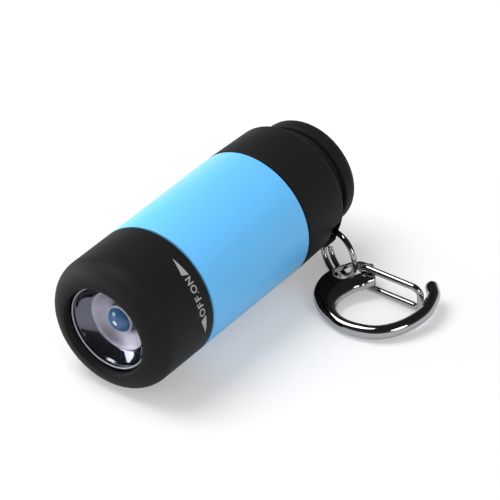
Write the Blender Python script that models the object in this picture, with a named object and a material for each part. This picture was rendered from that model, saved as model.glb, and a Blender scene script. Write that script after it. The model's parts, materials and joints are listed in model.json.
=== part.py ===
"""A keychain torch with a twist head, a pull-off tail cap over a USB plug, a split ring and a hook.

The torch lies along Y with its lens towards -Y, on the floor, and the hook lies flat beside its tail.
Lengths along the torch are measured from its front face. All sizes are real ones, in metres.
"""

import math

import bmesh
import bpy
from mathutils import Matrix, Vector

MM = 0.001

# Torch body
SIDES = 36
BODY_RADIUS = 13.0 * MM
SEAM_GAP = 0.3 * MM
CLEARANCE = 0.3 * MM
SLIDE_CLEARANCE = 0.5 * MM

# Twist head
HEAD_LENGTH = 15.0 * MM
HEAD_EDGE_RADIUS = 4.2 * MM
HEAD_REAR_ROUND = 0.4 * MM
LENS_SURROUND = 4.8 * MM
LIP_THICKNESS = 0.8 * MM
LIP_ROUND = 0.5 * MM
HEAD_WALL = 3.1 * MM

# Lamp pieces in the head
WINDOW_THICKNESS = 0.8 * MM
LENS_SEAL_WIDTH = 0.6 * MM
REFLECTOR_STEP_RADIUS = 5.9 * MM
REFLECTOR_STEP_DEPTH = 1.5 * MM
REFLECTOR_CONE_DEPTH = 1.7 * MM
REFLECTOR_RIM_THICKNESS = 1.0 * MM
REFLECTOR_BACK_WALL = 1.2 * MM
LED_RADIUS = 2.6 * MM
LED_FOOT_LENGTH = 1.2 * MM
BOARD_THICKNESS = 1.0 * MM
RETAINER_THICKNESS = 1.2 * MM
RETAINER_WIDTH = 2.6 * MM
SPRING_RADIUS = 2.2 * MM
SPRING_WIRE_RADIUS = 0.25 * MM
SPRING_PITCH = 1.0 * MM
SPRING_TURNS = 3

# Barrel and blue shell
BODY_LENGTH = 28.3 * MM
SHELL_WALL = 1.7 * MM
SLEEVE_WALL = 1.9 * MM
FRONT_SPIGOT = 5.2 * MM
REAR_SPIGOT = 4.2 * MM
SEAL_SECTION_RADIUS = 0.5 * MM
SEAL_FROM_SEAM = 2.4 * MM

# Power pieces
CRADLE_WALL = 1.3 * MM
CRADLE_END = 1.0 * MM
TERMINAL_RADIUS = 3.5 * MM
TERMINAL_THICKNESS = 0.6 * MM
TERMINAL_STEM_RADIUS = 1.8 * MM
REAR_TERMINAL_RADIUS = 5.0 * MM
CHARGE_BOARD_WIDTH = 12.6 * MM
CHARGE_BOARD_LENGTH = 4.6 * MM
CHIP_SIDE = 2.6 * MM
CHIP_HEIGHT = 1.0 * MM
STATUS_LED_LENGTH = 1.6 * MM
STATUS_LED_WIDTH = 0.8 * MM

# USB plug
USB_WIDTH = 12.0 * MM
USB_HEIGHT = 4.5 * MM
USB_WALL = 0.35 * MM
USB_REACH = 11.8 * MM
USB_ROOT = 2.6 * MM
USB_TONGUE_THICKNESS = 1.6 * MM
USB_CONTACT_PITCH = 2.5 * MM
USB_CONTACT_WIDTH = 1.2 * MM
USB_CONTACT_LENGTH = 7.5 * MM
USB_CONTACT_THICKNESS = 0.2 * MM
USB_CONTACT_COUNT = 4
COLLAR_THICKNESS = 1.3 * MM

# Tail cap
SKIRT_LENGTH = 11.1 * MM
SKIRT_TAPER = 0.3 * MM
SKIRT_END_ROUND = 0.9 * MM
GROOVE_WIDTH = 3.3 * MM
GROOVE_DEPTH = 3.4 * MM
FLANGE_LENGTH = 3.8 * MM
FLANGE_INSET = 2.25 * MM
FLANGE_ROUND = 2.0 * MM
CAP_WALL = 1.5 * MM
CAP_END_WALL = 1.8 * MM
SOCKET_DEPTH = 4.7 * MM

# Lanyard bar over a recess in the skirt
BAR_ANGLE = math.radians(-31.5)
BAR_WIDTH = 1.2 * MM
BAR_THICKNESS = 0.9 * MM
BAR_RISE = 0.2 * MM
RECESS_FROM_END = 0.75 * MM
RECESS_LENGTH = 2.85 * MM
RECESS_WIDTH = 9.4 * MM

# Split ring
RING_RADIUS = 4.385 * MM
RING_WIRE_RADIUS = 0.55 * MM
RING_COIL_GAP = 0.42 * MM
RING_TURNS = 1.25
RING_START = math.radians(-135)
RING_LEAN = 0
RING_FROM_END = 1.4 * MM
FLOOR_GAP = 0.02 * MM

# Hook: its centre line runs in its own plane from the arm's end, round the bow, to the nose
HOOK_BEARING = math.radians(-18.6)
HOOK_TILT = math.radians(8.1)
HOOK_LINE = [
    (-4.2 * MM, 13.6 * MM),
    (-6.9 * MM, 11.3 * MM),
    (-8.3 * MM, 8.0 * MM),
    (-7.8 * MM, 4.3 * MM),
    (-5.2 * MM, 1.3 * MM),
    (-0.8 * MM, 0.0 * MM),
    (4.6 * MM, 1.4 * MM),
    (8.0 * MM, 5.0 * MM),
    (9.5 * MM, 9.9 * MM),
    (8.6 * MM, 14.4 * MM),
    (7.0 * MM, 16.4 * MM),
]
ARM_WIDTH = 7.0 * MM
ARM_TIP_WIDTH = 5.0 * MM
ARM_TIP_SHARE = 0.06
ARM_HEIGHT = 2.8 * MM
ARM_SQUARENESS = 3.6
ARM_END_SHARE = 0.18
BOW_START_SHARE = 0.46
BOW_WIDTH = 2.6 * MM
BOW_HEIGHT = 2.7 * MM
EYE_CENTRE = (-7.8 * MM, 12.12 * MM)
EYE_RADIUS = 1.5 * MM
EYE_LENGTH = 2.8 * MM
EYE_ANGLE = math.radians(60)

# Wire gate
GATE_WIRE_RADIUS = 0.65 * MM
GATE_BEND_RADIUS = 1.6 * MM
GATE_PIVOT_INSET = 1.6 * MM
GATE_PIVOT_DEPTH = 0.9 * MM
GATE_NOSE_HEIGHT = 12.9 * MM

BLACK_ABS = ((0.017, 0.017, 0.018), 0.55, 0.0)
BLUE_ABS = ((0.11, 0.45, 0.88), 0.4, 0.0)
CLEAR_ACRYLIC = ((0.85, 0.9, 0.95), 0.05, 0.0)
MIRROR_FILM = ((0.8, 0.8, 0.83), 0.12, 1.0)
RUBBER = ((0.02, 0.02, 0.02), 0.8, 0.0)
BOARD_GREEN = ((0.02, 0.16, 0.06), 0.5, 0.0)
WHITE_ABS = ((0.75, 0.75, 0.73), 0.5, 0.0)
BRASS = ((0.7, 0.5, 0.2), 0.3, 1.0)
SPRING_STEEL = ((0.6, 0.6, 0.6), 0.3, 1.0)
NICKEL = ((0.65, 0.64, 0.62), 0.25, 1.0)
CELL_WRAP = ((0.1, 0.3, 0.12), 0.4, 0.0)
CHIP_BLACK = ((0.02, 0.02, 0.02), 0.5, 0.0)
LED_RED = ((0.7, 0.05, 0.05), 0.2, 0.0)
GOLD = ((0.85, 0.6, 0.2), 0.25, 1.0)
CHROME = ((0.72, 0.72, 0.74), 0.08, 1.0)

# Stations along the torch, from its front face
SEAM_1 = HEAD_LENGTH + SEAM_GAP
BODY_END = SEAM_1 + BODY_LENGTH
CAP_START = BODY_END + SEAM_GAP
SKIRT_END = CAP_START + SKIRT_LENGTH
FLANGE_START = SKIRT_END + GROOVE_WIDTH
TORCH_LENGTH = FLANGE_START + FLANGE_LENGTH
WINDOW_FRONT = LIP_THICKNESS + CLEARANCE
REFLECTOR_FRONT = WINDOW_FRONT + WINDOW_THICKNESS + CLEARANCE
REFLECTOR_STEP = REFLECTOR_FRONT + REFLECTOR_STEP_DEPTH
REFLECTOR_THROAT = REFLECTOR_STEP + REFLECTOR_CONE_DEPTH
REFLECTOR_BACK = REFLECTOR_THROAT + REFLECTOR_BACK_WALL
BOARD_FRONT = REFLECTOR_BACK + CLEARANCE
BOARD_BACK = BOARD_FRONT + BOARD_THICKNESS
HEAD_STEP = BOARD_BACK + CLEARANCE
RETAINER_BACK = HEAD_STEP + RETAINER_THICKNESS
SLEEVE_FRONT = SEAM_1 - FRONT_SPIGOT
SLEEVE_BACK = BODY_END + REAR_SPIGOT
SPRING_BACK = BOARD_BACK + CLEARANCE + 2 * SPRING_WIRE_RADIUS + SPRING_TURNS * SPRING_PITCH
TERMINAL_FRONT = SPRING_BACK + CLEARANCE
CRADLE_FRONT = TERMINAL_FRONT + TERMINAL_THICKNESS + CLEARANCE
CELL_FRONT = CRADLE_FRONT + CRADLE_END + 2 * CLEARANCE
COLLAR_FRONT = SLEEVE_BACK - COLLAR_THICKNESS
USB_START = COLLAR_FRONT - USB_ROOT
USB_END = SLEEVE_BACK + USB_REACH
CHARGE_BOARD_END = USB_START - CLEARANCE
CHARGE_BOARD_START = CHARGE_BOARD_END - CHARGE_BOARD_LENGTH
REAR_TERMINAL_BACK = CHARGE_BOARD_START - CLEARANCE
CELL_BACK = REAR_TERMINAL_BACK - TERMINAL_THICKNESS - CLEARANCE

# Radii that follow from the torch's own, walls and fits
LENS_OPENING_RADIUS = BODY_RADIUS - LENS_SURROUND
HEAD_SEAT_RADIUS = BODY_RADIUS - HEAD_WALL
SEAT_FIT_RADIUS = HEAD_SEAT_RADIUS - CLEARANCE
SPIGOT_SOCKET_RADIUS = BODY_RADIUS - SHELL_WALL
SLEEVE_RADIUS = SPIGOT_SOCKET_RADIUS - SLIDE_CLEARANCE
SLEEVE_BORE_RADIUS = SLEEVE_RADIUS - SLEEVE_WALL
RETAINER_RADIUS = SPIGOT_SOCKET_RADIUS - CLEARANCE
CELL_RADIUS = SLEEVE_BORE_RADIUS - CRADLE_WALL - 2 * CLEARANCE
SKIRT_END_RADIUS = BODY_RADIUS - SKIRT_TAPER
NECK_RADIUS = BODY_RADIUS - GROOVE_DEPTH
FLANGE_RADIUS = BODY_RADIUS - FLANGE_INSET
CAP_BORE_RADIUS = NECK_RADIUS - CAP_WALL
AXIS_HEIGHT = BODY_RADIUS * math.cos(math.pi / SIDES)
AXIS = Vector((0, 0, AXIS_HEIGHT))


def clear_scene():
    for old in list(bpy.data.objects):
        bpy.data.objects.remove(old, do_unlink=True)


def material_of(name, finish):
    colour, roughness, metallic = finish
    made = bpy.data.materials.new(name)
    made.use_nodes = True
    shader = made.node_tree.nodes["Principled BSDF"]
    shader.inputs["Base Color"].default_value = (*colour, 1)
    shader.inputs["Roughness"].default_value = roughness
    shader.inputs["Metallic"].default_value = metallic
    return made


def empty_at(name, parent, place, rotation=None):
    """An empty at a world place, which carries a moving group on its joint's axis."""
    made = bpy.data.objects.new(name, None)
    bpy.context.collection.objects.link(made)
    made.empty_display_size = BODY_RADIUS / 3
    made.parent = parent
    made.matrix_world = Matrix.Translation(place) @ (rotation or Matrix())
    bpy.context.view_layer.update()
    return made


def carried(obj, parent):
    """Parents an object and leaves it where it stands."""
    obj.parent = parent
    obj.matrix_parent_inverse = parent.matrix_world.inverted()


def node_from_bmesh(name, bm, parent, finish, smooth_angle=35):
    mesh = bpy.data.meshes.new(name)
    bm.to_mesh(mesh)
    bm.free()
    mesh.shade_smooth()
    mesh.set_sharp_from_angle(angle=math.radians(smooth_angle))
    obj = bpy.data.objects.new(name, mesh)
    bpy.context.collection.objects.link(obj)
    mesh.materials.append(material_of(name, finish))
    carried(obj, parent)
    return obj


def cutter_from_bmesh(name, bm, parent):
    mesh = bpy.data.meshes.new(name)
    bm.to_mesh(mesh)
    bm.free()
    obj = bpy.data.objects.new(name, mesh)
    bpy.context.collection.objects.link(obj)
    obj.hide_render = True
    obj.display_type = "WIRE"
    carried(obj, parent)
    return obj


def boolean(obj, tool, operation):
    step = obj.modifiers.new(operation.lower() + "_" + tool.name, "BOOLEAN")
    step.operation = operation
    step.object = tool


def arc(centre, radius, start, end, steps):
    """Points of a circular arc, as (radius, station) pairs, angles in degrees."""
    angles = [math.radians(start + (end - start) * i / steps) for i in range(steps + 1)]
    return [(centre[0] + radius * math.cos(a), centre[1] + radius * math.sin(a)) for a in angles]


def turned_bmesh(profile, sides=SIDES):
    """Spins a closed profile of (radius, station) pairs about the torch's axis."""
    bm = bmesh.new()
    first = math.pi / sides - math.pi / 2
    across = Vector((math.cos(first), 0, math.sin(first)))
    places = [AXIS + across * radius + Vector((0, station, 0)) for radius, station in profile]
    verts = [bm.verts.new(place) for place in places]
    on_axis = profile[0][0] == 0 and profile[-1][0] == 0
    pairs = list(zip(verts, verts[1:]))
    if not on_axis:
        pairs.append((verts[-1], verts[0]))
    edges = [bm.edges.new(pair) for pair in pairs]
    bmesh.ops.spin(
        bm,
        geom=verts + edges,
        cent=AXIS,
        axis=(0, 1, 0),
        angle=2 * math.pi,
        steps=sides,
        use_merge=True,
    )
    bmesh.ops.remove_doubles(bm, verts=bm.verts, dist=1e-7)
    bmesh.ops.recalc_face_normals(bm, faces=bm.faces)
    return bm


def turned(name, profile, parent, finish, sides=SIDES):
    return node_from_bmesh(name, turned_bmesh(profile, sides), parent, finish)


def washer(name, inner, outer, start, end, parent, finish, sides=SIDES):
    profile = [(inner, start), (outer, start), (outer, end), (inner, end)]
    return turned(name, profile, parent, finish, sides)


def disc(name, radius, start, end, parent, finish):
    """A plain round disc or drum on the torch's axis."""
    return turned(name, [(0, start), (radius, start), (radius, end), (0, end)], parent, finish)


def block_bmesh(low, high):
    bm = bmesh.new()
    size = Vector(high) - Vector(low)
    middle = (Vector(high) + Vector(low)) / 2
    bmesh.ops.create_cube(bm, size=1, matrix=Matrix.Translation(middle) @ Matrix.Diagonal((*size, 1)))
    return bm


def block(name, low, high, parent, finish):
    return node_from_bmesh(name, block_bmesh(low, high), parent, finish)


def cylinder_bmesh(centre, direction, radius, length, sides=24):
    bm = bmesh.new()
    turn = Vector(direction).to_track_quat("Z", "Y").to_matrix().to_4x4()
    bmesh.ops.create_cone(
        bm,
        cap_ends=True,
        segments=sides,
        radius1=radius,
        radius2=radius,
        depth=length,
        matrix=Matrix.Translation(centre) @ turn,
    )
    return bm


def wire(name, points, radius, parent, finish, sides_level=2):
    """One unbroken round wire along the points, with closed ends."""
    curve = bpy.data.curves.new(name, "CURVE")
    curve.dimensions = "3D"
    curve.bevel_depth = radius
    curve.bevel_resolution = sides_level
    curve.use_fill_caps = True
    spline = curve.splines.new("POLY")
    spline.points.add(len(points) - 1)
    for point, place in zip(spline.points, points):
        point.co = (*place, 1)
    obj = bpy.data.objects.new(name, curve)
    bpy.context.collection.objects.link(obj)
    curve.materials.append(material_of(name, finish))
    carried(obj, parent)
    return obj


def least_gap(points, radius, skip):
    """The least gap between stretches of one wire that are more than skip points apart."""
    count = len(points)
    gaps = [(points[i] - points[j]).length for i in range(count) for j in range(i + skip, count)]
    return min(gaps) - 2 * radius


def o_ring(name, station, parent):
    """A round seal in the barrel's groove at this station."""
    middle = SLEEVE_RADIUS - SEAL_SECTION_RADIUS / 2
    return turned(name, arc((middle, station), SEAL_SECTION_RADIUS, 0, 315, 7), parent, RUBBER)


def make_head(parent):
    edge_centre = (BODY_RADIUS - HEAD_EDGE_RADIUS, HEAD_EDGE_RADIUS)
    lip_centre = (LENS_OPENING_RADIUS + LIP_ROUND, LIP_ROUND)
    rear_centre = (BODY_RADIUS - HEAD_REAR_ROUND, HEAD_LENGTH - HEAD_REAR_ROUND)
    profile = [(LENS_OPENING_RADIUS, LIP_THICKNESS)]
    profile += arc(lip_centre, LIP_ROUND, 180, 270, 3)
    profile += arc(edge_centre, HEAD_EDGE_RADIUS, -90, 0, 8)
    profile += arc(rear_centre, HEAD_REAR_ROUND, 0, 90, 2)
    profile += [
        (SPIGOT_SOCKET_RADIUS, HEAD_LENGTH),
        (SPIGOT_SOCKET_RADIUS, HEAD_STEP),
        (HEAD_SEAT_RADIUS, HEAD_STEP),
        (HEAD_SEAT_RADIUS, LIP_THICKNESS),
    ]
    turned("head_shell", profile, parent, BLACK_ABS)


def make_lamp(parent):
    window_radius = SEAT_FIT_RADIUS - LENS_SEAL_WIDTH - CLEARANCE
    window_back = WINDOW_FRONT + WINDOW_THICKNESS
    disc("lens_window", window_radius, WINDOW_FRONT, window_back, parent, CLEAR_ACRYLIC)
    seal_bore = window_radius + CLEARANCE
    washer("lens_seal", seal_bore, SEAT_FIT_RADIUS, WINDOW_FRONT, window_back, parent, RUBBER)

    throat_radius = LED_RADIUS + CLEARANCE
    reflector = [
        (LENS_OPENING_RADIUS, REFLECTOR_FRONT),
        (SEAT_FIT_RADIUS, REFLECTOR_FRONT),
        (SEAT_FIT_RADIUS, REFLECTOR_FRONT + REFLECTOR_RIM_THICKNESS),
        (REFLECTOR_STEP_RADIUS + REFLECTOR_BACK_WALL, REFLECTOR_BACK),
        (throat_radius, REFLECTOR_BACK),
        (throat_radius, REFLECTOR_THROAT),
        (REFLECTOR_STEP_RADIUS, REFLECTOR_STEP),
    ]
    turned("reflector", reflector, parent, MIRROR_FILM)

    foot_front = REFLECTOR_BACK - LED_FOOT_LENGTH
    dome = arc((0, foot_front), LED_RADIUS, -90, 0, 6)
    lamp = [(0, foot_front - LED_RADIUS)] + dome[1:]
    lamp += [(LED_RADIUS, REFLECTOR_BACK), (0, REFLECTOR_BACK)]
    turned("led_lamp", lamp, parent, CLEAR_ACRYLIC, sides=24)
    disc("led_board", SEAT_FIT_RADIUS, BOARD_FRONT, BOARD_BACK, parent, BOARD_GREEN)
    bore = RETAINER_RADIUS - RETAINER_WIDTH
    washer("head_retainer", bore, RETAINER_RADIUS, HEAD_STEP, RETAINER_BACK, parent, WHITE_ABS)

    start = BOARD_BACK + CLEARANCE + SPRING_WIRE_RADIUS
    steps = 10
    coil = []
    for i in range(SPRING_TURNS * steps + 1):
        turn = 2 * math.pi * i / steps
        station = start + SPRING_PITCH * i / steps
        spoke = Vector((math.cos(turn), 0, math.sin(turn))) * SPRING_RADIUS
        coil.append(AXIS + spoke + Vector((0, station, 0)))
    print("contact_spring's least gap to itself:", least_gap(coil, SPRING_WIRE_RADIUS, steps - 1))
    wire("contact_spring", coil, SPRING_WIRE_RADIUS, parent, SPRING_STEEL, 1)


def make_barrel(parent):
    bore = SPIGOT_SOCKET_RADIUS
    washer("body_shell", bore, BODY_RADIUS, SEAM_1, BODY_END, parent, BLUE_ABS)

    groove = SEAL_SECTION_RADIUS + CLEARANCE
    groove_radius = SLEEVE_RADIUS - SEAL_SECTION_RADIUS * 1.5 - CLEARANCE
    seals = {"head_seal": SEAM_1 - SEAL_FROM_SEAM, "tail_seal": BODY_END + SEAL_FROM_SEAM}
    profile = [(SLEEVE_BORE_RADIUS, SLEEVE_FRONT), (SLEEVE_RADIUS, SLEEVE_FRONT)]
    for station in seals.values():
        profile += [
            (SLEEVE_RADIUS, station - groove),
            (groove_radius, station - groove),
            (groove_radius, station + groove),
            (SLEEVE_RADIUS, station + groove),
        ]
    profile += [(SLEEVE_RADIUS, SLEEVE_BACK), (SLEEVE_BORE_RADIUS, SLEEVE_BACK)]
    turned("inner_sleeve", profile, parent, BLACK_ABS)
    for name, station in seals.items():
        o_ring(name, station, parent)


def make_power(parent):
    cradle_radius = SLEEVE_BORE_RADIUS - CLEARANCE
    cell_seat = cradle_radius - CRADLE_WALL
    stem_hole = TERMINAL_STEM_RADIUS + CLEARANCE
    cradle = [
        (stem_hole, CRADLE_FRONT),
        (cradle_radius, CRADLE_FRONT),
        (cradle_radius, CELL_BACK),
        (cell_seat, CELL_BACK),
        (cell_seat, CRADLE_FRONT + CRADLE_END),
        (stem_hole, CRADLE_FRONT + CRADLE_END),
    ]
    turned("cell_cradle", cradle, parent, WHITE_ABS)
    terminal_back = TERMINAL_FRONT + TERMINAL_THICKNESS
    terminal = [
        (0, TERMINAL_FRONT),
        (TERMINAL_RADIUS, TERMINAL_FRONT),
        (TERMINAL_RADIUS, terminal_back),
        (TERMINAL_STEM_RADIUS, terminal_back),
        (TERMINAL_STEM_RADIUS, CELL_FRONT - CLEARANCE),
        (0, CELL_FRONT - CLEARANCE),
    ]
    turned("front_terminal", terminal, parent, BRASS, sides=24)
    disc("battery_cell", CELL_RADIUS, CELL_FRONT, CELL_BACK, parent, CELL_WRAP)
    tab_front = CELL_BACK + CLEARANCE
    disc("rear_terminal", REAR_TERMINAL_RADIUS, tab_front, REAR_TERMINAL_BACK, parent, NICKEL)

    half = CHARGE_BOARD_WIDTH / 2
    top = AXIS_HEIGHT + BOARD_THICKNESS / 2
    low = (-half, CHARGE_BOARD_START, top - BOARD_THICKNESS)
    block("charge_board", low, (half, CHARGE_BOARD_END, top), parent, BOARD_GREEN)
    middle = (CHARGE_BOARD_START + CHARGE_BOARD_END) / 2
    seat = top + CLEARANCE
    low = (-CHIP_SIDE / 2, middle - CHIP_SIDE / 2, seat)
    high = (CHIP_SIDE / 2, middle + CHIP_SIDE / 2, seat + CHIP_HEIGHT)
    block("charge_chip", low, high, parent, CHIP_BLACK)
    led_x = half - CHIP_SIDE / 2 - STATUS_LED_WIDTH
    low = (led_x, middle - STATUS_LED_LENGTH / 2, seat)
    high = (led_x + STATUS_LED_WIDTH, middle + STATUS_LED_LENGTH / 2, seat + STATUS_LED_WIDTH)
    block("status_led", low, high, parent, LED_RED)


def make_plug(parent):
    def slab(grow, start, end):
        width = USB_WIDTH / 2 + grow
        height = USB_HEIGHT / 2 + grow
        return block_bmesh((-width, start, AXIS_HEIGHT - height), (width, end, AXIS_HEIGHT + height))

    shell = node_from_bmesh("usb_shell", slab(0, USB_START, USB_END), parent, NICKEL)
    inside = slab(-USB_WALL, USB_START - USB_WALL, USB_END + USB_WALL)
    boolean(shell, cutter_from_bmesh("usb_hollow", inside, parent), "DIFFERENCE")

    tongue_half = USB_WIDTH / 2 - USB_WALL - CLEARANCE
    tongue_low = AXIS_HEIGHT - USB_HEIGHT / 2 + USB_WALL + CLEARANCE
    tongue_top = tongue_low + USB_TONGUE_THICKNESS
    tongue_end = USB_END - CLEARANCE
    low = (-tongue_half, USB_START, tongue_low)
    block("usb_tongue", low, (tongue_half, tongue_end, tongue_top), parent, WHITE_ABS)
    contact_low = tongue_top + CLEARANCE
    contact_end = tongue_end - USB_CONTACT_PITCH / 2
    for i in range(USB_CONTACT_COUNT):
        x = (i - (USB_CONTACT_COUNT - 1) / 2) * USB_CONTACT_PITCH
        low = (x - USB_CONTACT_WIDTH / 2, contact_end - USB_CONTACT_LENGTH, contact_low)
        high = (x + USB_CONTACT_WIDTH / 2, contact_end, contact_low + USB_CONTACT_THICKNESS)
        block(f"usb_contact_{i + 1}", low, high, parent, GOLD)

    collar_radius = SLEEVE_BORE_RADIUS - CLEARANCE
    collar = disc("usb_collar", collar_radius, COLLAR_FRONT, SLEEVE_BACK, parent, BLACK_ABS)
    slot = slab(CLEARANCE, COLLAR_FRONT - COLLAR_THICKNESS, SLEEVE_BACK + COLLAR_THICKNESS)
    boolean(collar, cutter_from_bmesh("collar_slot", slot, parent), "DIFFERENCE")


def bar_outline():
    """The lanyard bar over its recess, with sloping ends, as (radius, station) pairs."""
    top = BODY_RADIUS + BAR_RISE
    under = top - BAR_THICKNESS
    back = SKIRT_END - RECESS_FROM_END
    front = back - RECESS_LENGTH
    root = BAR_THICKNESS / 2
    return [
        (under, front - root),
        (under + root, front - root),
        (top, front + root / 2),
        (top, back - root / 2),
        (under + root, back + root),
        (under, back + root),
    ]


def recess_corners():
    """The recess under the bar, deep enough for the ring's wire, as (radius, station) pairs."""
    top = BODY_RADIUS + BAR_RISE
    floor = top - BAR_THICKNESS - 2 * RING_WIRE_RADIUS - CLEARANCE - SLIDE_CLEARANCE
    back = SKIRT_END - RECESS_FROM_END
    front = back - RECESS_LENGTH
    return [(floor, front), (top + CLEARANCE, front), (top + CLEARANCE, back), (floor, back)]


def plate_bmesh(outline, angle, thickness):
    """A plate across the torch at this angle, from an outline of (radius, station) pairs."""
    bm = bmesh.new()
    out = Vector((math.cos(angle), 0, math.sin(angle)))
    side = Vector((0, 1, 0)).cross(out)
    start = AXIS - side * thickness / 2
    corners = [start + out * radius + Vector((0, station, 0)) for radius, station in outline]
    face = bm.faces.new([bm.verts.new(corner) for corner in corners])
    grown = bmesh.ops.extrude_face_region(bm, geom=[face])
    moved = [v for v in grown["geom"] if isinstance(v, bmesh.types.BMVert)]
    bmesh.ops.translate(bm, verts=moved, vec=side * thickness)
    bmesh.ops.recalc_face_normals(bm, faces=bm.faces)
    return bm


def make_cap(parent):
    skirt_centre = (SKIRT_END_RADIUS - SKIRT_END_ROUND, SKIRT_END - SKIRT_END_ROUND)
    flange_centre = (FLANGE_RADIUS - FLANGE_ROUND, TORCH_LENGTH - FLANGE_ROUND)
    socket_end = CAP_START + SOCKET_DEPTH
    floor = TORCH_LENGTH - CAP_END_WALL
    profile = [(SPIGOT_SOCKET_RADIUS, CAP_START), (BODY_RADIUS, CAP_START)]
    profile += arc(skirt_centre, SKIRT_END_ROUND, 0, 90, 4)
    profile += [(NECK_RADIUS, SKIRT_END), (NECK_RADIUS, FLANGE_START), (FLANGE_RADIUS, FLANGE_START)]
    profile += arc(flange_centre, FLANGE_ROUND, 0, 90, 5)
    hole = [(SPIGOT_SOCKET_RADIUS, socket_end), (CAP_BORE_RADIUS, socket_end)]
    hole += [(CAP_BORE_RADIUS, floor), (0, floor)]
    cap = turned("tail_cap", [(0, TORCH_LENGTH)] + profile[::-1] + hole, parent, BLACK_ABS)

    recess = plate_bmesh(recess_corners(), BAR_ANGLE, RECESS_WIDTH)
    boolean(cap, cutter_from_bmesh("lanyard_recess", recess, parent), "DIFFERENCE")
    bar = plate_bmesh(bar_outline(), BAR_ANGLE, BAR_WIDTH)
    boolean(cap, cutter_from_bmesh("lanyard_bar", bar, parent), "UNION")


def bar_eye():
    """The middle of the ring's wire where it passes under the bar."""
    reach = BODY_RADIUS + BAR_RISE - BAR_THICKNESS - CLEARANCE - RING_WIRE_RADIUS
    station = SKIRT_END - RING_FROM_END
    return AXIS + Vector((reach * math.cos(BAR_ANGLE), station, reach * math.sin(BAR_ANGLE)))


def hook_frame():
    """The hook's own frame: it rests on its bow and its gate, one ring's width from the bar."""
    eyelet = Matrix.Rotation(HOOK_TILT, 4, "X") @ Vector((*EYE_CENTRE, 0))
    height = BOW_HEIGHT / 2 + eyelet.z
    eye = bar_eye()
    reach = math.sqrt((2 * RING_RADIUS) ** 2 - (eye.z - height) ** 2)
    bearing = Vector((math.cos(HOOK_BEARING), math.sin(HOOK_BEARING), 0))
    hole = Vector((eye.x, eye.y, height)) + bearing * reach
    return Matrix.Translation(hole - eyelet) @ Matrix.Rotation(HOOK_TILT, 4, "X")


def ring_rise(turn):
    """How far the coil has climbed from the ring's middle plane at this turn."""
    pitch = 2 * RING_WIRE_RADIUS + RING_COIL_GAP
    return pitch * ((turn - RING_START) / (2 * math.pi) - RING_TURNS / 2)


def ring_line(centre, normal, across, steps=24):
    """The ring's wire: one turn and a short overlap, which lies on the side away from the lens."""
    sideways = normal.cross(across)
    count = round(RING_TURNS * steps)
    line = []
    for i in range(count + 1):
        turn = RING_START + 2 * math.pi * RING_TURNS * i / count
        spoke = across * math.cos(turn) + sideways * math.sin(turn)
        line.append(centre + spoke * RING_RADIUS + normal * ring_rise(turn))
    return line


def ring_frame():
    """The ring's centre, its normal and the direction from its centre to the hook's eye."""
    eye = bar_eye()
    hole = hook_frame() @ Vector((*EYE_CENTRE, 0))
    centre = (eye + hole) / 2
    across = (hole - eye).normalized()
    level = across.cross(Vector((0, 0, 1))).normalized()
    steep = level.cross(across)
    normal = level
    for degrees in range(RING_LEAN, 85):
        lean = math.radians(degrees)
        normal = level * math.cos(lean) + steep * math.sin(lean)
        lowest = min(point.z for point in ring_line(centre, normal, across))
        if lowest > RING_WIRE_RADIUS + FLOOR_GAP:
            break
    return centre, normal, across


def make_ring(parent):
    points = ring_line(*ring_frame())
    print("split_ring's least gap to itself:", least_gap(points, RING_WIRE_RADIUS, 20))
    wire("split_ring", points, RING_WIRE_RADIUS, parent, CHROME)


def smooth_line(points, steps):
    """A smooth curve through the points, each stretch cut into equal steps."""
    ends = [2 * points[0] - points[1], *points, 2 * points[-1] - points[-2]]
    line = []
    for a, b, c, d in zip(ends, ends[1:], ends[2:], ends[3:]):
        for i in range(steps):
            t = i / steps
            square = (2 * a - 5 * b + 4 * c - d) * t**2
            cube = (3 * b - a - 3 * c + d) * t**3
            line.append((2 * b + (c - a) * t + square + cube) / 2)
    return line + [points[-1]]


def blend(share, start, end):
    t = min(max((share - start) / (end - start), 0), 1)
    return t * t * (3 - 2 * t)


def hook_section(share):
    """Width, height and squareness of the hook's section at a share of its centre line."""
    arm = ARM_TIP_WIDTH + (ARM_WIDTH - ARM_TIP_WIDTH) * blend(share, 0, ARM_TIP_SHARE)
    t = blend(share, ARM_END_SHARE, BOW_START_SHARE)
    return (
        arm + (BOW_WIDTH - arm) * t,
        ARM_HEIGHT + (BOW_HEIGHT - ARM_HEIGHT) * t,
        ARM_SQUARENESS + (2 - ARM_SQUARENESS) * t,
    )


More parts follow.
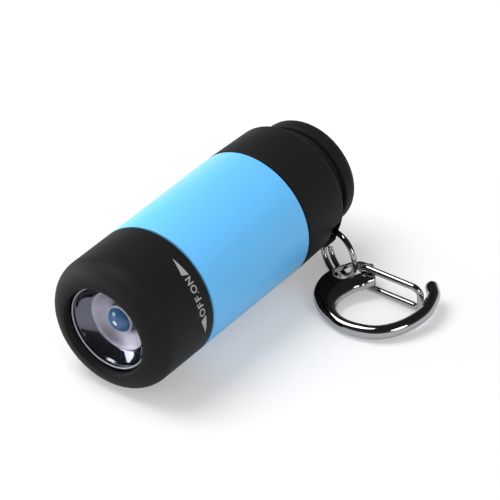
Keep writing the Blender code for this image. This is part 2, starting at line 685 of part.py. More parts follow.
def hook_bmesh(frame, sides=16, steps=4, nose_steps=3):
    """The cast hook, lofted along its centre line from its flat arm to its round nose."""
    line = smooth_line([Vector((x, y, 0)) for x, y in HOOK_LINE], steps)
    count = len(line)
    sections = []
    for i, point in enumerate(line):
        ahead = (line[min(i + 1, count - 1)] - line[max(i - 1, 0)]).normalized()
        sections.append((point, ahead, i / (count - 1), 1.0))
    tip, ahead = sections[-1][0], sections[-1][1]
    for i in range(1, nose_steps + 1):
        angle = math.pi / 2 * i / (nose_steps + 0.5)
        sections.append((tip + ahead * BOW_WIDTH / 2 * math.sin(angle), ahead, 1.0, math.cos(angle)))

    bm = bmesh.new()
    loops = []
    for point, ahead, share, shrink in sections:
        width, height, squareness = hook_section(share)
        side = Vector((0, 0, 1)).cross(ahead)
        loop = []
        for k in range(sides):
            angle = 2 * math.pi * (k + 0.5) / sides
            c, s = math.cos(angle), math.sin(angle)
            u = math.copysign(abs(c) ** (2 / squareness), c) * width / 2 * shrink
            v = math.copysign(abs(s) ** (2 / squareness), s) * height / 2 * shrink
            loop.append(bm.verts.new(frame @ (point + side * u + Vector((0, 0, v)))))
        loops.append(loop)
    for first, second in zip(loops, loops[1:]):
        for k in range(sides):
            bm.faces.new((first[k], first[(k + 1) % sides], second[(k + 1) % sides], second[k]))
    bm.faces.new(loops[0][::-1])
    bm.faces.new(loops[-1])
    bmesh.ops.recalc_face_normals(bm, faces=bm.faces)
    return bm


def slot_bmesh(start, end, direction, radius, length, sides=24):
    """A slot with round ends between two places, cut along a direction."""
    bm = bmesh.new()
    turn = direction.to_track_quat("Z", "Y").to_matrix()
    for place in (start, end):
        for k in range(sides):
            angle = 2 * math.pi * k / sides
            spoke = turn @ Vector((math.cos(angle), math.sin(angle), 0)) * radius
            for side in (-0.5, 0.5):
                bm.verts.new(place + spoke + direction * length * side)
    bmesh.ops.convex_hull(bm, input=bm.verts)
    inside = [v for v in bm.verts if not v.link_faces]
    bmesh.ops.delete(bm, geom=inside, context="VERTS")
    bmesh.ops.recalc_face_normals(bm, faces=bm.faces)
    return bm


def gate_pivot():
    """The gate's pivot in the hook's plane, a little in from the arm's end."""
    end, after = Vector(HOOK_LINE[0]), Vector(HOOK_LINE[1])
    return end + (after - end).normalized() * GATE_PIVOT_INSET


def make_hook(parent, frame):
    up = (frame.to_3x3() @ Vector((0, 0, 1))).normalized()
    hook = node_from_bmesh("hook_body", hook_bmesh(frame), parent, CHROME, 50)
    _, normal, across = ring_frame()
    tangent = normal.cross(across)
    top = frame @ Vector((*EYE_CENTRE, 0)) + normal * ring_rise(0)
    along = frame.to_3x3() @ Vector((math.cos(EYE_ANGLE), math.sin(EYE_ANGLE), 0))
    eye = slot_bmesh(top, top - along * EYE_LENGTH, tangent, EYE_RADIUS, 4 * ARM_HEIGHT)
    boolean(hook, cutter_from_bmesh("hook_eye", eye, parent), "DIFFERENCE")
    pivot = frame @ Vector((*gate_pivot(), 0))
    hole = cylinder_bmesh(pivot, up, GATE_WIRE_RADIUS + CLEARANCE, 2 * ARM_HEIGHT, 16)
    boolean(hook, cutter_from_bmesh("gate_pivot_hole", hole, parent), "DIFFERENCE")


def nose_face():
    """Where the gate's closed end meets the inside of the nose, in the hook's plane."""
    line = smooth_line([Vector((x, y, 0)) for x, y in HOOK_LINE[-4:]], 12)
    nearest = min(line, key=lambda point: abs(point.y - GATE_NOSE_HEIGHT))
    return nearest.x - BOW_WIDTH / 2 - CLEARANCE


def make_gate(parent, frame):
    pivot = gate_pivot()
    leg_height = ARM_HEIGHT / 2 + CLEARANCE + GATE_WIRE_RADIUS
    end = Vector((nose_face() - GATE_WIRE_RADIUS, GATE_NOSE_HEIGHT))
    along = (end - pivot).normalized()
    length = (end - pivot).length
    bend = GATE_BEND_RADIUS
    tuck = GATE_WIRE_RADIUS * 1.5
    profile = [(0.0, ARM_HEIGHT / 2 - GATE_PIVOT_DEPTH)]
    profile += arc((tuck, leg_height - tuck), tuck, 180, 90, 3)
    profile += [(length / 2, leg_height)]
    profile += arc((length - bend, leg_height - bend), bend, 90, 0, 4)
    lower = [(x, -z) for x, z in profile[::-1]]
    points = [frame @ Vector((*(pivot + along * x), z)) for x, z in profile + lower]
    wire("gate_wire", points, GATE_WIRE_RADIUS, parent, CHROME)


def stand_on_origin(root):
    """Moves the whole part so that the middle of its underside is at the origin."""
    bpy.context.view_layer.update()
    graph = bpy.context.evaluated_depsgraph_get()
    corners = []
    for obj in bpy.context.scene.objects:
        if obj.type in ("MESH", "CURVE") and not obj.hide_render:
            shown = obj.evaluated_get(graph)
            mesh = shown.to_mesh()
            corners += [shown.matrix_world @ v.co for v in mesh.vertices]
            shown.to_mesh_clear()
    low = [min(c[k] for c in corners) for k in range(3)]
    high = [max(c[k] for c in corners) for k in range(3)]
    root.location = (-(low[0] + high[0]) / 2, -(low[1] + high[1]) / 2, -low[2])
    bpy.context.view_layer.update()


def main():
    clear_scene()
    root = empty_at("torch", None, Vector())
    head = empty_at("head_twist", root, AXIS)
    cap = empty_at("cap_pull", root, AXIS + Vector((0, CAP_START, 0)))
    ring = empty_at("ring_swing", cap, bar_eye())
    frame = hook_frame()
    hook = empty_at("hook_swing", ring, frame @ Vector((*EYE_CENTRE, 0)))
    gate = empty_at("gate_swing", hook, frame @ Vector((*gate_pivot(), 0)))

    make_head(head)
    make_lamp(head)
    make_barrel(root)
    make_power(root)
    make_plug(root)
    make_cap(cap)
    make_ring(ring)
    make_hook(hook, frame)
    make_gate(gate, frame)
    stand_on_origin(root)


main()
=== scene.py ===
"""A keychain torch: fine shapes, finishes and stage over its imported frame, laid out as a Blender add-on."""

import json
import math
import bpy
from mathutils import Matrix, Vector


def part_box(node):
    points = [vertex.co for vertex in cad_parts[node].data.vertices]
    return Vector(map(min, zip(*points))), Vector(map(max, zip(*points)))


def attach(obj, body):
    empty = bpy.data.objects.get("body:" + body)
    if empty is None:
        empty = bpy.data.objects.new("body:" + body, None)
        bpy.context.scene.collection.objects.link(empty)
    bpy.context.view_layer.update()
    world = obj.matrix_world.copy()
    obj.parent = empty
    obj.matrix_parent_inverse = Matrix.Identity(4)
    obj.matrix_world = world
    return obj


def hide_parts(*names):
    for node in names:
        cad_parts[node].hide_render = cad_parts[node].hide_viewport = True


bl_info = {
    "name": "Keychain Torch",
    "version": (1, 0, 0),
    "blender": (4, 5, 0),
    "location": "View3D > Sidebar > Torch",
    "description": "Makes the shapes, finishes and stage of a keychain torch",
    "category": "Object",
}

import bmesh
import bpy
from bpy.props import FloatProperty, FloatVectorProperty, IntProperty, PointerProperty
from bpy.types import Operator, Panel, PropertyGroup
from mathutils import Matrix, Vector

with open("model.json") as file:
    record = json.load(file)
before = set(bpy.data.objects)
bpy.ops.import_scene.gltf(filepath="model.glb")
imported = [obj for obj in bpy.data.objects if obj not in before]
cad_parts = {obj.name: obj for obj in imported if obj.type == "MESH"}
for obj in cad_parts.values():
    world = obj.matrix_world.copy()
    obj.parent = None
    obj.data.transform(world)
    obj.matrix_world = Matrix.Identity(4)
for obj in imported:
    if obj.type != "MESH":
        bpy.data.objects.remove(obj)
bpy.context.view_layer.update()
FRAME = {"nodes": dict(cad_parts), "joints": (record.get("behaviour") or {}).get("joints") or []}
JOINTS = {joint["name"]: joint for joint in FRAME["joints"]}

MM = 0.001
HEAD_LOW, HEAD_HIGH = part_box("head_shell")
BODY_LOW, BODY_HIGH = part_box("body_shell")
CAP_LOW, CAP_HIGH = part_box("tail_cap")

# The torch's axis runs along Y, and stations are measured along it from the front face
FRONT = HEAD_LOW.y
AXIS = Vector(((HEAD_LOW.x + HEAD_HIGH.x) / 2, 0, (HEAD_LOW.z + HEAD_HIGH.z) / 2))
RADIUS = (HEAD_HIGH.z - HEAD_LOW.z) / 2
HEAD_END = HEAD_HIGH.y - FRONT
BODY_START = BODY_LOW.y - FRONT
BODY_END = BODY_HIGH.y - FRONT
CAP_START = CAP_LOW.y - FRONT
CAP_END = CAP_HIGH.y - FRONT

# The cap's steps, the lanyard bar sunk in its skirt, and the ring that hangs on the bar
SOCKET_RADIUS = 11.2 * MM
SKIRT_END = CAP_START + 11.1 * MM
FLANGE_START = SKIRT_END + 3.3 * MM
NECK_RADIUS = 9.6 * MM
FLANGE_RADIUS = 10.7 * MM
SKIRT_END_RADIUS = 12.65 * MM
BAR_ANGLE = math.radians(-31.5)
BAR_WIDTH = 1.2 * MM
BAR_THICKNESS = 0.9 * MM
BAR_TOP = 13.2 * MM
RECESS_END = SKIRT_END - 0.75 * MM
RECESS_START = RECESS_END - 2.85 * MM
RECESS_WIDTH = 9.4 * MM
RECESS_FLOOR = 10.4 * MM
RING_RADIUS = 4.385 * MM
RING_WIRE = 0.55 * MM
RING_PITCH = 1.52 * MM
RING_TURNS = 1.25
RING_START = math.radians(-135)
RING_FROM_END = 1.4 * MM
RING_CLEARANCE = 0.3 * MM

# The hook's centre line in its own plane, from the arm's end round the bow to the nose, in mm
HOOK_LINE = (
    (-4.2, 13.6),
    (-6.9, 11.3),
    (-8.3, 8.0),
    (-7.8, 4.3),
    (-5.2, 1.3),
    (-0.8, 0.0),
    (4.6, 1.4),
    (8.0, 5.0),
    (9.5, 9.9),
    (8.6, 14.4),
    (7.0, 16.4),
)
EYE_CENTRE = (-7.8 * MM, 12.12 * MM)
ARM_HEIGHT = 2.8 * MM
BOW_WIDTH = 2.6 * MM
GATE_NOSE_HEIGHT = 12.9 * MM
GATE_PIVOT_INSET = 1.6 * MM

# The view: a long lens, turned 36.7 degrees round the torch and raised 36.6 degrees
VIEW_TURN = math.radians(36.7)
VIEW_RISE = math.radians(36.6)
VIEW_DISTANCE = 629 * MM
VIEW_LENS = 252
VIEW_SIDE = 6.125 * MM
VIEW_ALONG = 34.78 * MM


def linear(code):
    """A linear colour from an sRGB hex code."""
    shares = [int(code[i : i + 2], 16) / 255 for i in (1, 3, 5)]
    return [s / 12.92 if s <= 0.04045 else ((s + 0.055) / 1.055) ** 2.4 for s in shares] + [1.0]


class TorchSizes(PropertyGroup):
    """Sizes of the fine shapes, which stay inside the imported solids' box."""

    head_edge: FloatProperty(
        name="Head edge",
        description="Radius of the head's large front edge",
        default=4.2 * MM,
        unit="LENGTH",
    )
    lens_opening: FloatProperty(
        name="Lens opening",
        description="Radius of the round opening in the head",
        default=8.45 * MM,
        unit="LENGTH",
    )
    edge_round: FloatProperty(
        name="Seam edge",
        description="Radius of the small edges at the seams",
        default=0.3 * MM,
        unit="LENGTH",
    )
    letter_height: FloatProperty(
        name="Letter height",
        description="Height of the switch lettering on the head",
        default=1.5 * MM,
        unit="LENGTH",
    )
    gate_wire: FloatProperty(
        name="Gate wire",
        description="Radius of the gate's wire",
        default=0.65 * MM,
        unit="LENGTH",
    )
    sides: IntProperty(
        name="Sides",
        description="Number of sides of a round piece",
        default=144,
        min=24,
    )


class TorchColours(PropertyGroup):
    """Colours of the finishes, in linear light."""

    black: FloatVectorProperty(
        name="Black ABS",
        description="Head and cap",
        subtype="COLOR",
        size=4,
        default=linear("#1C1C1D"),
    )
    blue: FloatVectorProperty(
        name="Blue ABS",
        description="Sleeve in the middle of the torch",
        subtype="COLOR",
        size=4,
        default=linear("#69C1FC"),
    )
    ink: FloatVectorProperty(
        name="Print",
        description="Switch lettering on the head",
        subtype="COLOR",
        size=4,
        default=linear("#A4A4A6"),
    )
    chrome: FloatVectorProperty(
        name="Chrome",
        description="Ring, hook and gate",
        subtype="COLOR",
        size=4,
        default=linear("#A4A5A8"),
    )


def node(tree, kind, links=None, **settings):
    """Adds a node with its settings; links gives each named input a socket or a value."""
    made = tree.nodes.new(kind)
    for key, value in settings.items():
        setattr(made, key, value)
    for name, value in (links or {}).items():
        if isinstance(value, bpy.types.NodeSocket):
            tree.links.new(value, made.inputs[name])
        else:
            made.inputs[name].default_value = value
    return made


def new_material(name, **values):
    """A material whose Principled shader has these values; also returns its tree and Object coordinates."""
    material = bpy.data.materials.new(name)
    material.use_nodes = True
    tree = material.node_tree
    shader = tree.nodes["Principled BSDF"]
    for key, value in values.items():
        shader.inputs[key.replace("_", " ").title().replace("Ior", "IOR")].default_value = value
    coords = node(tree, "ShaderNodeTexCoord").outputs["Object"]
    return material, tree, shader, coords


def noise(tree, coords, size_mm, **values):
    """The strength of a noise whose spots are about this size."""
    links = {"Vector": coords, "Scale": 1 / (size_mm * MM)}
    links.update({key.title(): value for key, value in values.items()})
    return node(tree, "ShaderNodeTexNoise", links).outputs["Fac"]


def mixed(tree, share, one, two):
    """A colour between two colours."""
    return node(tree, "ShaderNodeMixRGB", {"Fac": share, "Color1": one, "Color2": two}).outputs["Color"]


def reckoned(tree, operation, *values):
    """The result of a sum on these values."""
    return node(tree, "ShaderNodeMath", dict(enumerate(values)), operation=operation).outputs["Value"]


def roughened(tree, shader, strength, low, high, start=0.0, end=1.0):
    """Lets a noise set the roughness: from low to high while the noise goes from start to end."""
    spread = {"Value": strength, "From Min": start, "From Max": end, "To Min": low, "To Max": high}
    rough = node(tree, "ShaderNodeMapRange", spread)
    tree.links.new(rough.outputs["Result"], shader.inputs["Roughness"])


def bumped(tree, shader, height, strength, depth_mm):
    """Lets a noise stand out from the surface by this depth."""
    relief = {"Height": height, "Strength": strength, "Distance": depth_mm * MM}
    bump = node(tree, "ShaderNodeBump", relief)
    tree.links.new(bump.outputs["Normal"], shader.inputs["Normal"])


def moulded(name, colour, roughness, spark_mm=0.18, depth_mm=0.004, shift=0.05, gloss=0.5):
    """Moulded ABS from a spark-eroded tool: an even colour, a fine matt grain and faint flow clouds.
    The grain is drawn coarser than the real 0.05 mm so that it shows."""
    material, tree, shader, coords = new_material(name, base_color=colour, ior=1.53, specular_ior_level=gloss)
    clouds = noise(tree, coords, 7, detail=2.0)
    grain = noise(tree, coords, spark_mm, detail=3.0)
    darker = [c * (1 - shift) for c in colour[:3]] + [1]
    lighter = [c * (1 + shift) for c in colour[:3]] + [1]
    tree.links.new(mixed(tree, clouds, darker, lighter), shader.inputs["Base Color"])
    spread = 0.06
    roughened(tree, shader, grain, roughness - spread, roughness + spread, 0.3, 0.7)
    bumped(tree, shader, grain, 0.35, depth_mm)
    return material


def plated(name, colour, low, high):
    """Plated metal: a mirror finish with soft smears of handling that change its roughness a little."""
    material, tree, shader, coords = new_material(name, base_color=colour, metallic=1.0)
    smear = noise(tree, coords, 2.5, detail=4.0, distortion=0.6)
    roughened(tree, shader, smear, low, high, 0.35, 0.75)
    return material


def brushed(name, colour, roughness):
    """Rolled sheet metal: fine lines along the sheet, which stretch its highlights."""
    material, tree, shader, coords = new_material(name, base_color=colour, metallic=1.0)
    stretch = node(tree, "ShaderNodeMapping", {"Vector": coords, "Scale": (1.0, 0.04, 1.0)})
    lines = noise(tree, stretch.outputs["Vector"], 0.12, detail=2.0)
    spread = 0.08
    roughened(tree, shader, lines, roughness - spread, roughness + spread, 0.3, 0.7)
    return material


def lacquered_board(name, colour):
    """Fibreglass board under lacquer: a fine weave that shows faintly through the green."""
    material, tree, shader, coords = new_material(name, base_color=colour, roughness=0.35, ior=1.5)
    weave = node(
        tree,
        "ShaderNodeTexChecker",
        {
            "Vector": coords,
            "Color1": colour,
            "Color2": [c * 0.8 for c in colour[:3]] + [1],
            "Scale": 1 / (0.5 * MM),
        },
    )
    tree.links.new(weave.outputs["Color"], shader.inputs["Base Color"])
    return material


def clear_window(name, colour, alpha):
    """Polished clear acrylic, thin enough to show what is behind it, with its gloss on top."""
    material, tree, shader, coords = new_material(name, base_color=colour, ior=1.49, alpha=alpha)
    dust = noise(tree, coords, 1.5, detail=3.0)
    roughened(tree, shader, dust, 0.02, 0.08)
    return material


def lamp_lens(name, colour, die_and_highlight_colour):
    """Tinted epoxy of a lamp dome, polished, with a pale patch painted in its middle: the die showing
    through, which also stands in as a painted highlight on the dome.
    """
    material, tree, shader, coords = new_material(name, roughness=0.18, ior=1.5)
    # The die's pale patch, which is also a painted highlight, is a small rectangle: the direction of each
    # side, and half its length in mm
    die_highlight_sides = (((0.78, 0, -0.63), 0.42), ((0.63, 0, 0.78), 0.3))
    away = node(tree, "ShaderNodeVectorMath", {0: coords, 1: AXIS}, operation="SUBTRACT").outputs["Vector"]
    inside = 1.0
    for direction, half in die_highlight_sides:
        along = node(tree, "ShaderNodeVectorMath", {0: away, 1: direction}, operation="DOT_PRODUCT")
        distance = reckoned(tree, "ABSOLUTE", along.outputs["Value"])
        inside = reckoned(tree, "MULTIPLY", inside, reckoned(tree, "LESS_THAN", distance, half * MM))
    # Pale inside the rectangle: the die and a painted highlight; tinted epoxy elsewhere
    tree.links.new(mixed(tree, inside, colour, die_and_highlight_colour), shader.inputs["Base Color"])
    return material


def finish(name):
    """The finish of that name, made once."""
    made = bpy.data.materials.get(name)
    if made:
        return made
    colours = bpy.context.scene.torch_colours
    makers = {
        "matt_black_abs": lambda: moulded(name, list(colours.black), 0.58, gloss=0.1),
        "barrel_abs": lambda: moulded(name, linear("#161617"), 0.42, gloss=0.25),
        "satin_blue_abs": lambda: moulded(name, list(colours.blue), 0.36, 0.15, 0.002, shift=0.02, gloss=0.3),
        "plain_white_abs": lambda: moulded(name, linear("#E4E3DE"), 0.45),
        "chip_epoxy": lambda: moulded(name, linear("#202022"), 0.5, 0.1),
        "rubber": lambda: moulded(name, linear("#191919"), 0.75, 0.25, 0.01),
        "pad_ink": lambda: moulded(name, list(colours.ink), 0.55, 0.12, 0.002, shift=0.08),
        "shrink_wrap": lambda: moulded(name, linear("#2F7A45"), 0.3, 0.6, 0.003),
        "red_lens": lambda: moulded(name, linear("#C03028"), 0.15, 0.4, 0.001),
        "cup_wall": lambda: plated(name, linear("#5E606C"), 0.08, 0.12),
        "cup_cone": lambda: plated(name, linear("#AEACBC"), 0.5, 0.6),
        # The dome's pale middle is painted: the die, and with it a painted highlight
        "lamp_epoxy": lambda: lamp_lens(name, linear("#3F6E9E"), linear("#F2F4F6")),
        "lamp_rim": lambda: moulded(name, linear("#B9C4CC"), 0.2, 0.5, 0.001),
        "window": lambda: clear_window(name, linear("#5C6070"), 0.015),
        "window_edge": lambda: clear_window(name, linear("#B9BEC8"), 0.75),
        "bright_chrome": lambda: plated(name, list(colours.chrome), 0.03, 0.09),
        "spring_wire": lambda: plated(name, linear("#B4B4B2"), 0.2, 0.3),
        "rolled_brass": lambda: brushed(name, linear("#C9A15A"), 0.3),
        "nickel_sheet": lambda: brushed(name, linear("#C6C4BF"), 0.28),
        "gold_flash": lambda: brushed(name, linear("#D9B05A"), 0.25),
        "board_lacquer": lambda: lacquered_board(name, linear("#1F5A36")),
    }
    return makers[name]()


def linked(name, data):
    """A new object of this name in the scene."""
    obj = bpy.data.objects.new(name, data)
    bpy.context.scene.collection.objects.link(obj)
    return obj


def smooth_object(name, mesh, sharp):
    """A mesh as a smooth object, whose edges over this angle in degrees stay sharp."""
    mesh.shade_smooth()
    mesh.set_sharp_from_angle(angle=math.radians(sharp))
    return linked(name, mesh)


def baked(obj):
    """The mesh that an object shows; the object itself is removed."""
    graph = bpy.context.evaluated_depsgraph_get()
    mesh = bpy.data.meshes.new_from_object(obj.evaluated_get(graph), depsgraph=graph)
    bpy.data.objects.remove(obj, do_unlink=True)
    return mesh


def object_from(name, bm, *finishes, sharp=40):
    """A smooth object from a bmesh, with its faces turned outwards and its finishes."""
    bmesh.ops.recalc_face_normals(bm, faces=bm.faces)
    mesh = bpy.data.meshes.new(name)
    bm.to_mesh(mesh)
    bm.free()
    for each in finishes:
        mesh.materials.append(finish(each))
    return smooth_object(name, mesh, sharp)


def place_piece(obj, body, slot, *nodes):
    """Puts a finished piece on its body, in place of these nodes. The slot is not used."""
    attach(obj, body)
    if nodes:
        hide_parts(*nodes)


def arc(centre, radius, start, end, steps):
    """Points of an arc as (radius, station) pairs, angles in degrees."""
    angles = [math.radians(start + (end - start) * i / steps) for i in range(steps + 1)]
    return [(centre[0] + radius * math.cos(a), centre[1] + radius * math.sin(a)) for a in angles]


def on_torch(angle, radius, station):
    """The place at an angle round the torch's axis, a radius away from it and a station along it."""
    spoke = Vector((math.cos(angle), 0, math.sin(angle))) * radius
    return AXIS + spoke + Vector((0, FRONT + station, 0))


def turned(name, profile, *finishes, bands=None, sides=None):
    """A round piece on the torch's axis, spun from a section of (radius, station) pairs.
    bands gives each stretch of the section the number of its finish."""
    sides = sides or bpy.context.scene.torch_sizes.sides
    bm = bmesh.new()
    rings = []
    for radius, station in profile:
        count = sides if radius > 0 else 1
        places = [on_torch(2 * math.pi * k / sides, radius, station) for k in range(count)]
        rings.append([bm.verts.new(place) for place in places])
    pairs = list(zip(rings, rings[1:]))
    if len(rings[0]) > 1 or len(rings[-1]) > 1:
        pairs.append((rings[-1], rings[0]))
    for i, (one, two) in enumerate(pairs):
        for k in range(sides):
            corners = [one[k % len(one)], one[(k + 1) % len(one)]]
            corners += [two[(k + 1) % len(two)], two[k % len(two)]]
            face = bm.faces.new(list(dict.fromkeys(corners)))
            face.material_index = bands[i] if bands else 0
    return object_from(name, bm, *finishes)


def extruded(name, outline, depth, finish_name):
    """A plate from an outline of points, thickened by the vector depth."""
    bm = bmesh.new()
    face = bm.faces.new([bm.verts.new(point) for point in outline])
    grown = bmesh.ops.extrude_face_region(bm, geom=[face])
    moved = [v for v in grown["geom"] if isinstance(v, bmesh.types.BMVert)]
    bmesh.ops.translate(bm, verts=moved, vec=depth)
    return object_from(name, bm, finish_name)


def plain_mesh(obj, sharp):
    """Turns an object with live modifiers into a plain mesh object of the same name."""
    name = obj.name
    mesh = baked(obj)
    mesh.name = name
    return smooth_object(name, mesh, sharp)


def softened(obj, width):
    """Rounds the edges of a piece by a bevel of this width."""
    bevel = obj.modifiers.new("edges", "BEVEL")
    bevel.width = width
    bevel.segments = 3
    bevel.limit_method = "ANGLE"
    bevel.angle_limit = math.radians(35)
    return plain_mesh(obj, 30)


def cut(obj, tool):
    """Cuts a tool's shape out of a piece, and removes the tool."""
    step = obj.modifiers.new("shape", "BOOLEAN")
    step.operation = "DIFFERENCE"
    step.object = tool
    made = plain_mesh(obj, 35)
    bpy.data.objects.remove(tool, do_unlink=True)
    return made


def cast(obj, grain, rounds):
    """Melts the edges of a cut piece into the even, rounded skin of a casting."""
    skin = obj.modifiers.new("skin", "REMESH")
    skin.mode = "VOXEL"
    skin.voxel_size = grain
    ease = obj.modifiers.new("ease", "SMOOTH")
    ease.factor = 0.5
    ease.iterations = rounds
    return plain_mesh(obj, 180)


def cylinder(name, centre, direction, radius, length, sides=32):
    """A round bar about a centre, along a direction."""
    bm = bmesh.new()
    turn = Vector(direction).to_track_quat("Z", "Y").to_matrix().to_4x4()
    bmesh.ops.create_cone(
        bm,
        cap_ends=True,
        segments=sides,
        radius1=radius,
        radius2=radius,
        depth=length,
        matrix=Matrix.Translation(centre) @ turn,
    )
    return object_from(name, bm, "bright_chrome")


def round_ended_bar(name, start, end, direction, radius, length, sides=48):
    """A bar with round ends between two places, along a direction."""
    bm = bmesh.new()
    turn = direction.to_track_quat("Z", "Y").to_matrix()
    for place in (start, end):
        for k in range(sides):
            angle = 2 * math.pi * k / sides
            spoke = turn @ Vector((math.cos(angle), math.sin(angle), 0)) * radius
            for side in (-0.5, 0.5):
                bm.verts.new(place + spoke + direction * length * side)
    bmesh.ops.convex_hull(bm, input=bm.verts)
    bmesh.ops.delete(bm, geom=[v for v in bm.verts if not v.link_faces], context="VERTS")
    return object_from(name, bm, "bright_chrome")


def new_group(name, inputs, output):
    """A node tree with these inputs and one geometry output; also returns its input node."""
    tree = bpy.data.node_groups.new(name, "GeometryNodeTree")
    for label, kind in inputs.items():
        tree.interface.new_socket(label, in_out="INPUT", socket_type="NodeSocket" + kind)
    tree.interface.new_socket(output, in_out="OUTPUT", socket_type="NodeSocketGeometry")
    return tree, node(tree, "NodeGroupInput").outputs


def end_group(tree, geometry, finish_socket, output):
    """Ends a node tree with real geometry in its finish."""
    real = node(tree, "GeometryNodeRealizeInstances", {"Geometry": geometry}).outputs["Geometry"]
    painted = node(tree, "GeometryNodeSetMaterial", {"Geometry": real, "Material": finish_socket})
    node(tree, "NodeGroupOutput", {output: painted.outputs["Geometry"]})
    return tree


def wire_tree():
    """Node tree that sweeps a round wire along a path and closes its ends."""
    made = bpy.data.node_groups.get("round_wire")
    if made:
        return made
    inputs = {"Path": "Geometry", "Wire Radius": "Float", "Sides": "Int", "Finish": "Material"}
    tree, given = new_group("round_wire", inputs, "Wire")
    tree.interface.items_tree["Wire Radius"].subtype = "DISTANCE"
    size = {"Resolution": given["Sides"], "Radius": given["Wire Radius"]}
    section = node(tree, "GeometryNodeCurvePrimitiveCircle", size).outputs["Curve"]
    path = {"Curve": given["Path"], "Profile Curve": section, "Fill Caps": True}
    sweep = node(tree, "GeometryNodeCurveToMesh", path)
    return end_group(tree, sweep.outputs["Mesh"], given["Finish"], "Wire")


def row_tree():
    """Node tree that repeats one strip in a row across the torch."""
    inputs = {"Strip": "Geometry", "Count": "Int", "Pitch": "Vector", "Finish": "Material"}
    tree, given = new_group("contact_row", inputs, "Row")
    line = {"Count": given["Count"], "Offset": given["Pitch"]}
    points = node(tree, "GeometryNodeMeshLine", line).outputs["Mesh"]
    placed = node(tree, "GeometryNodeInstanceOnPoints", {"Points": points, "Instance": given["Strip"]})
    return end_group(tree, placed.outputs["Instances"], given["Finish"], "Row")


def with_tree(obj, tree, **inputs):
    """Runs a node tree on an object with these inputs, and makes the result a plain mesh."""
    step = obj.modifiers.new(tree.name, "NODES")
    step.node_group = tree
    for item in tree.interface.items_tree:
        key = item.name.lower().replace(" ", "_")
        if item.in_out == "INPUT" and key in inputs:
            step[item.identifier] = inputs[key]
    return plain_mesh(obj, 50)


def wire(name, points, radius, finish_name, sides=24):
    """A round wire through these points."""
    curve = bpy.data.curves.new(name, "CURVE")
    curve.dimensions = "3D"
    spline = curve.splines.new("POLY")
    spline.points.add(len(points) - 1)
    for point, place in zip(spline.points, points):
        point.co = (*place, 1)
    path = linked(name, curve)
    return with_tree(path, wire_tree(), wire_radius=radius, sides=sides, finish=finish(finish_name))


def painted_node(name, finish_name):
    """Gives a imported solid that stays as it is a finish."""
    mesh = FRAME["nodes"][name].data
    mesh.materials.clear()
    mesh.materials.append(finish(finish_name))


def letter_outline(letter, width, height):
    """A letter as a flat bmesh of this width and height, with its middle at zero and its foot on zero."""
    curve = bpy.data.curves.new("letter", "FONT")
    curve.body = letter
    curve.resolution_u = 8
    curve.offset = 0.018
    mesh = baked(linked("letter", curve))
    bm = bmesh.new()
    bm.from_mesh(mesh)
    bpy.data.meshes.remove(mesh)
    bmesh.ops.remove_doubles(bm, verts=bm.verts, dist=1e-5)
    xs = [v.co.x for v in bm.verts]
    ys = [v.co.y for v in bm.verts]
    for v in bm.verts:
        v.co.x = ((v.co.x - min(xs)) / (max(xs) - min(xs)) - 0.5) * width
        v.co.y = (v.co.y - min(ys)) / (max(ys) - min(ys)) * height
        v.co.z = 0
    return bm


INK_LIFT = 0.012 * MM
INK_DEPTH = 0.05 * MM


def wrapped_print(name, flat, foot_station):
    """Lays a flat bmesh round the head as a thin film of ink: x runs round the head, y towards the lens."""
    reach = [v.co.x for v in flat.verts]
    step = 0.3 * MM
    at = min(reach) + step
    while at < max(reach):
        geom = flat.verts[:] + flat.edges[:] + flat.faces[:]
        bmesh.ops.bisect_plane(flat, geom=geom, plane_co=(at, 0, 0), plane_no=(1, 0, 0))
        at += step
    film = RADIUS + INK_LIFT
    for v in flat.verts:
        v.co = on_torch(v.co.x / RADIUS, film, foot_station - v.co.y)
    for face in flat.faces:
        middle = face.calc_center_median() - AXIS
        middle.y = 0
        face.normal_update()
        if face.normal.dot(middle) < 0:
            face.normal_flip()
    bmesh.ops.solidify(flat, geom=flat.faces[:], thickness=INK_DEPTH)
    return object_from(name, flat, "pad_ink")


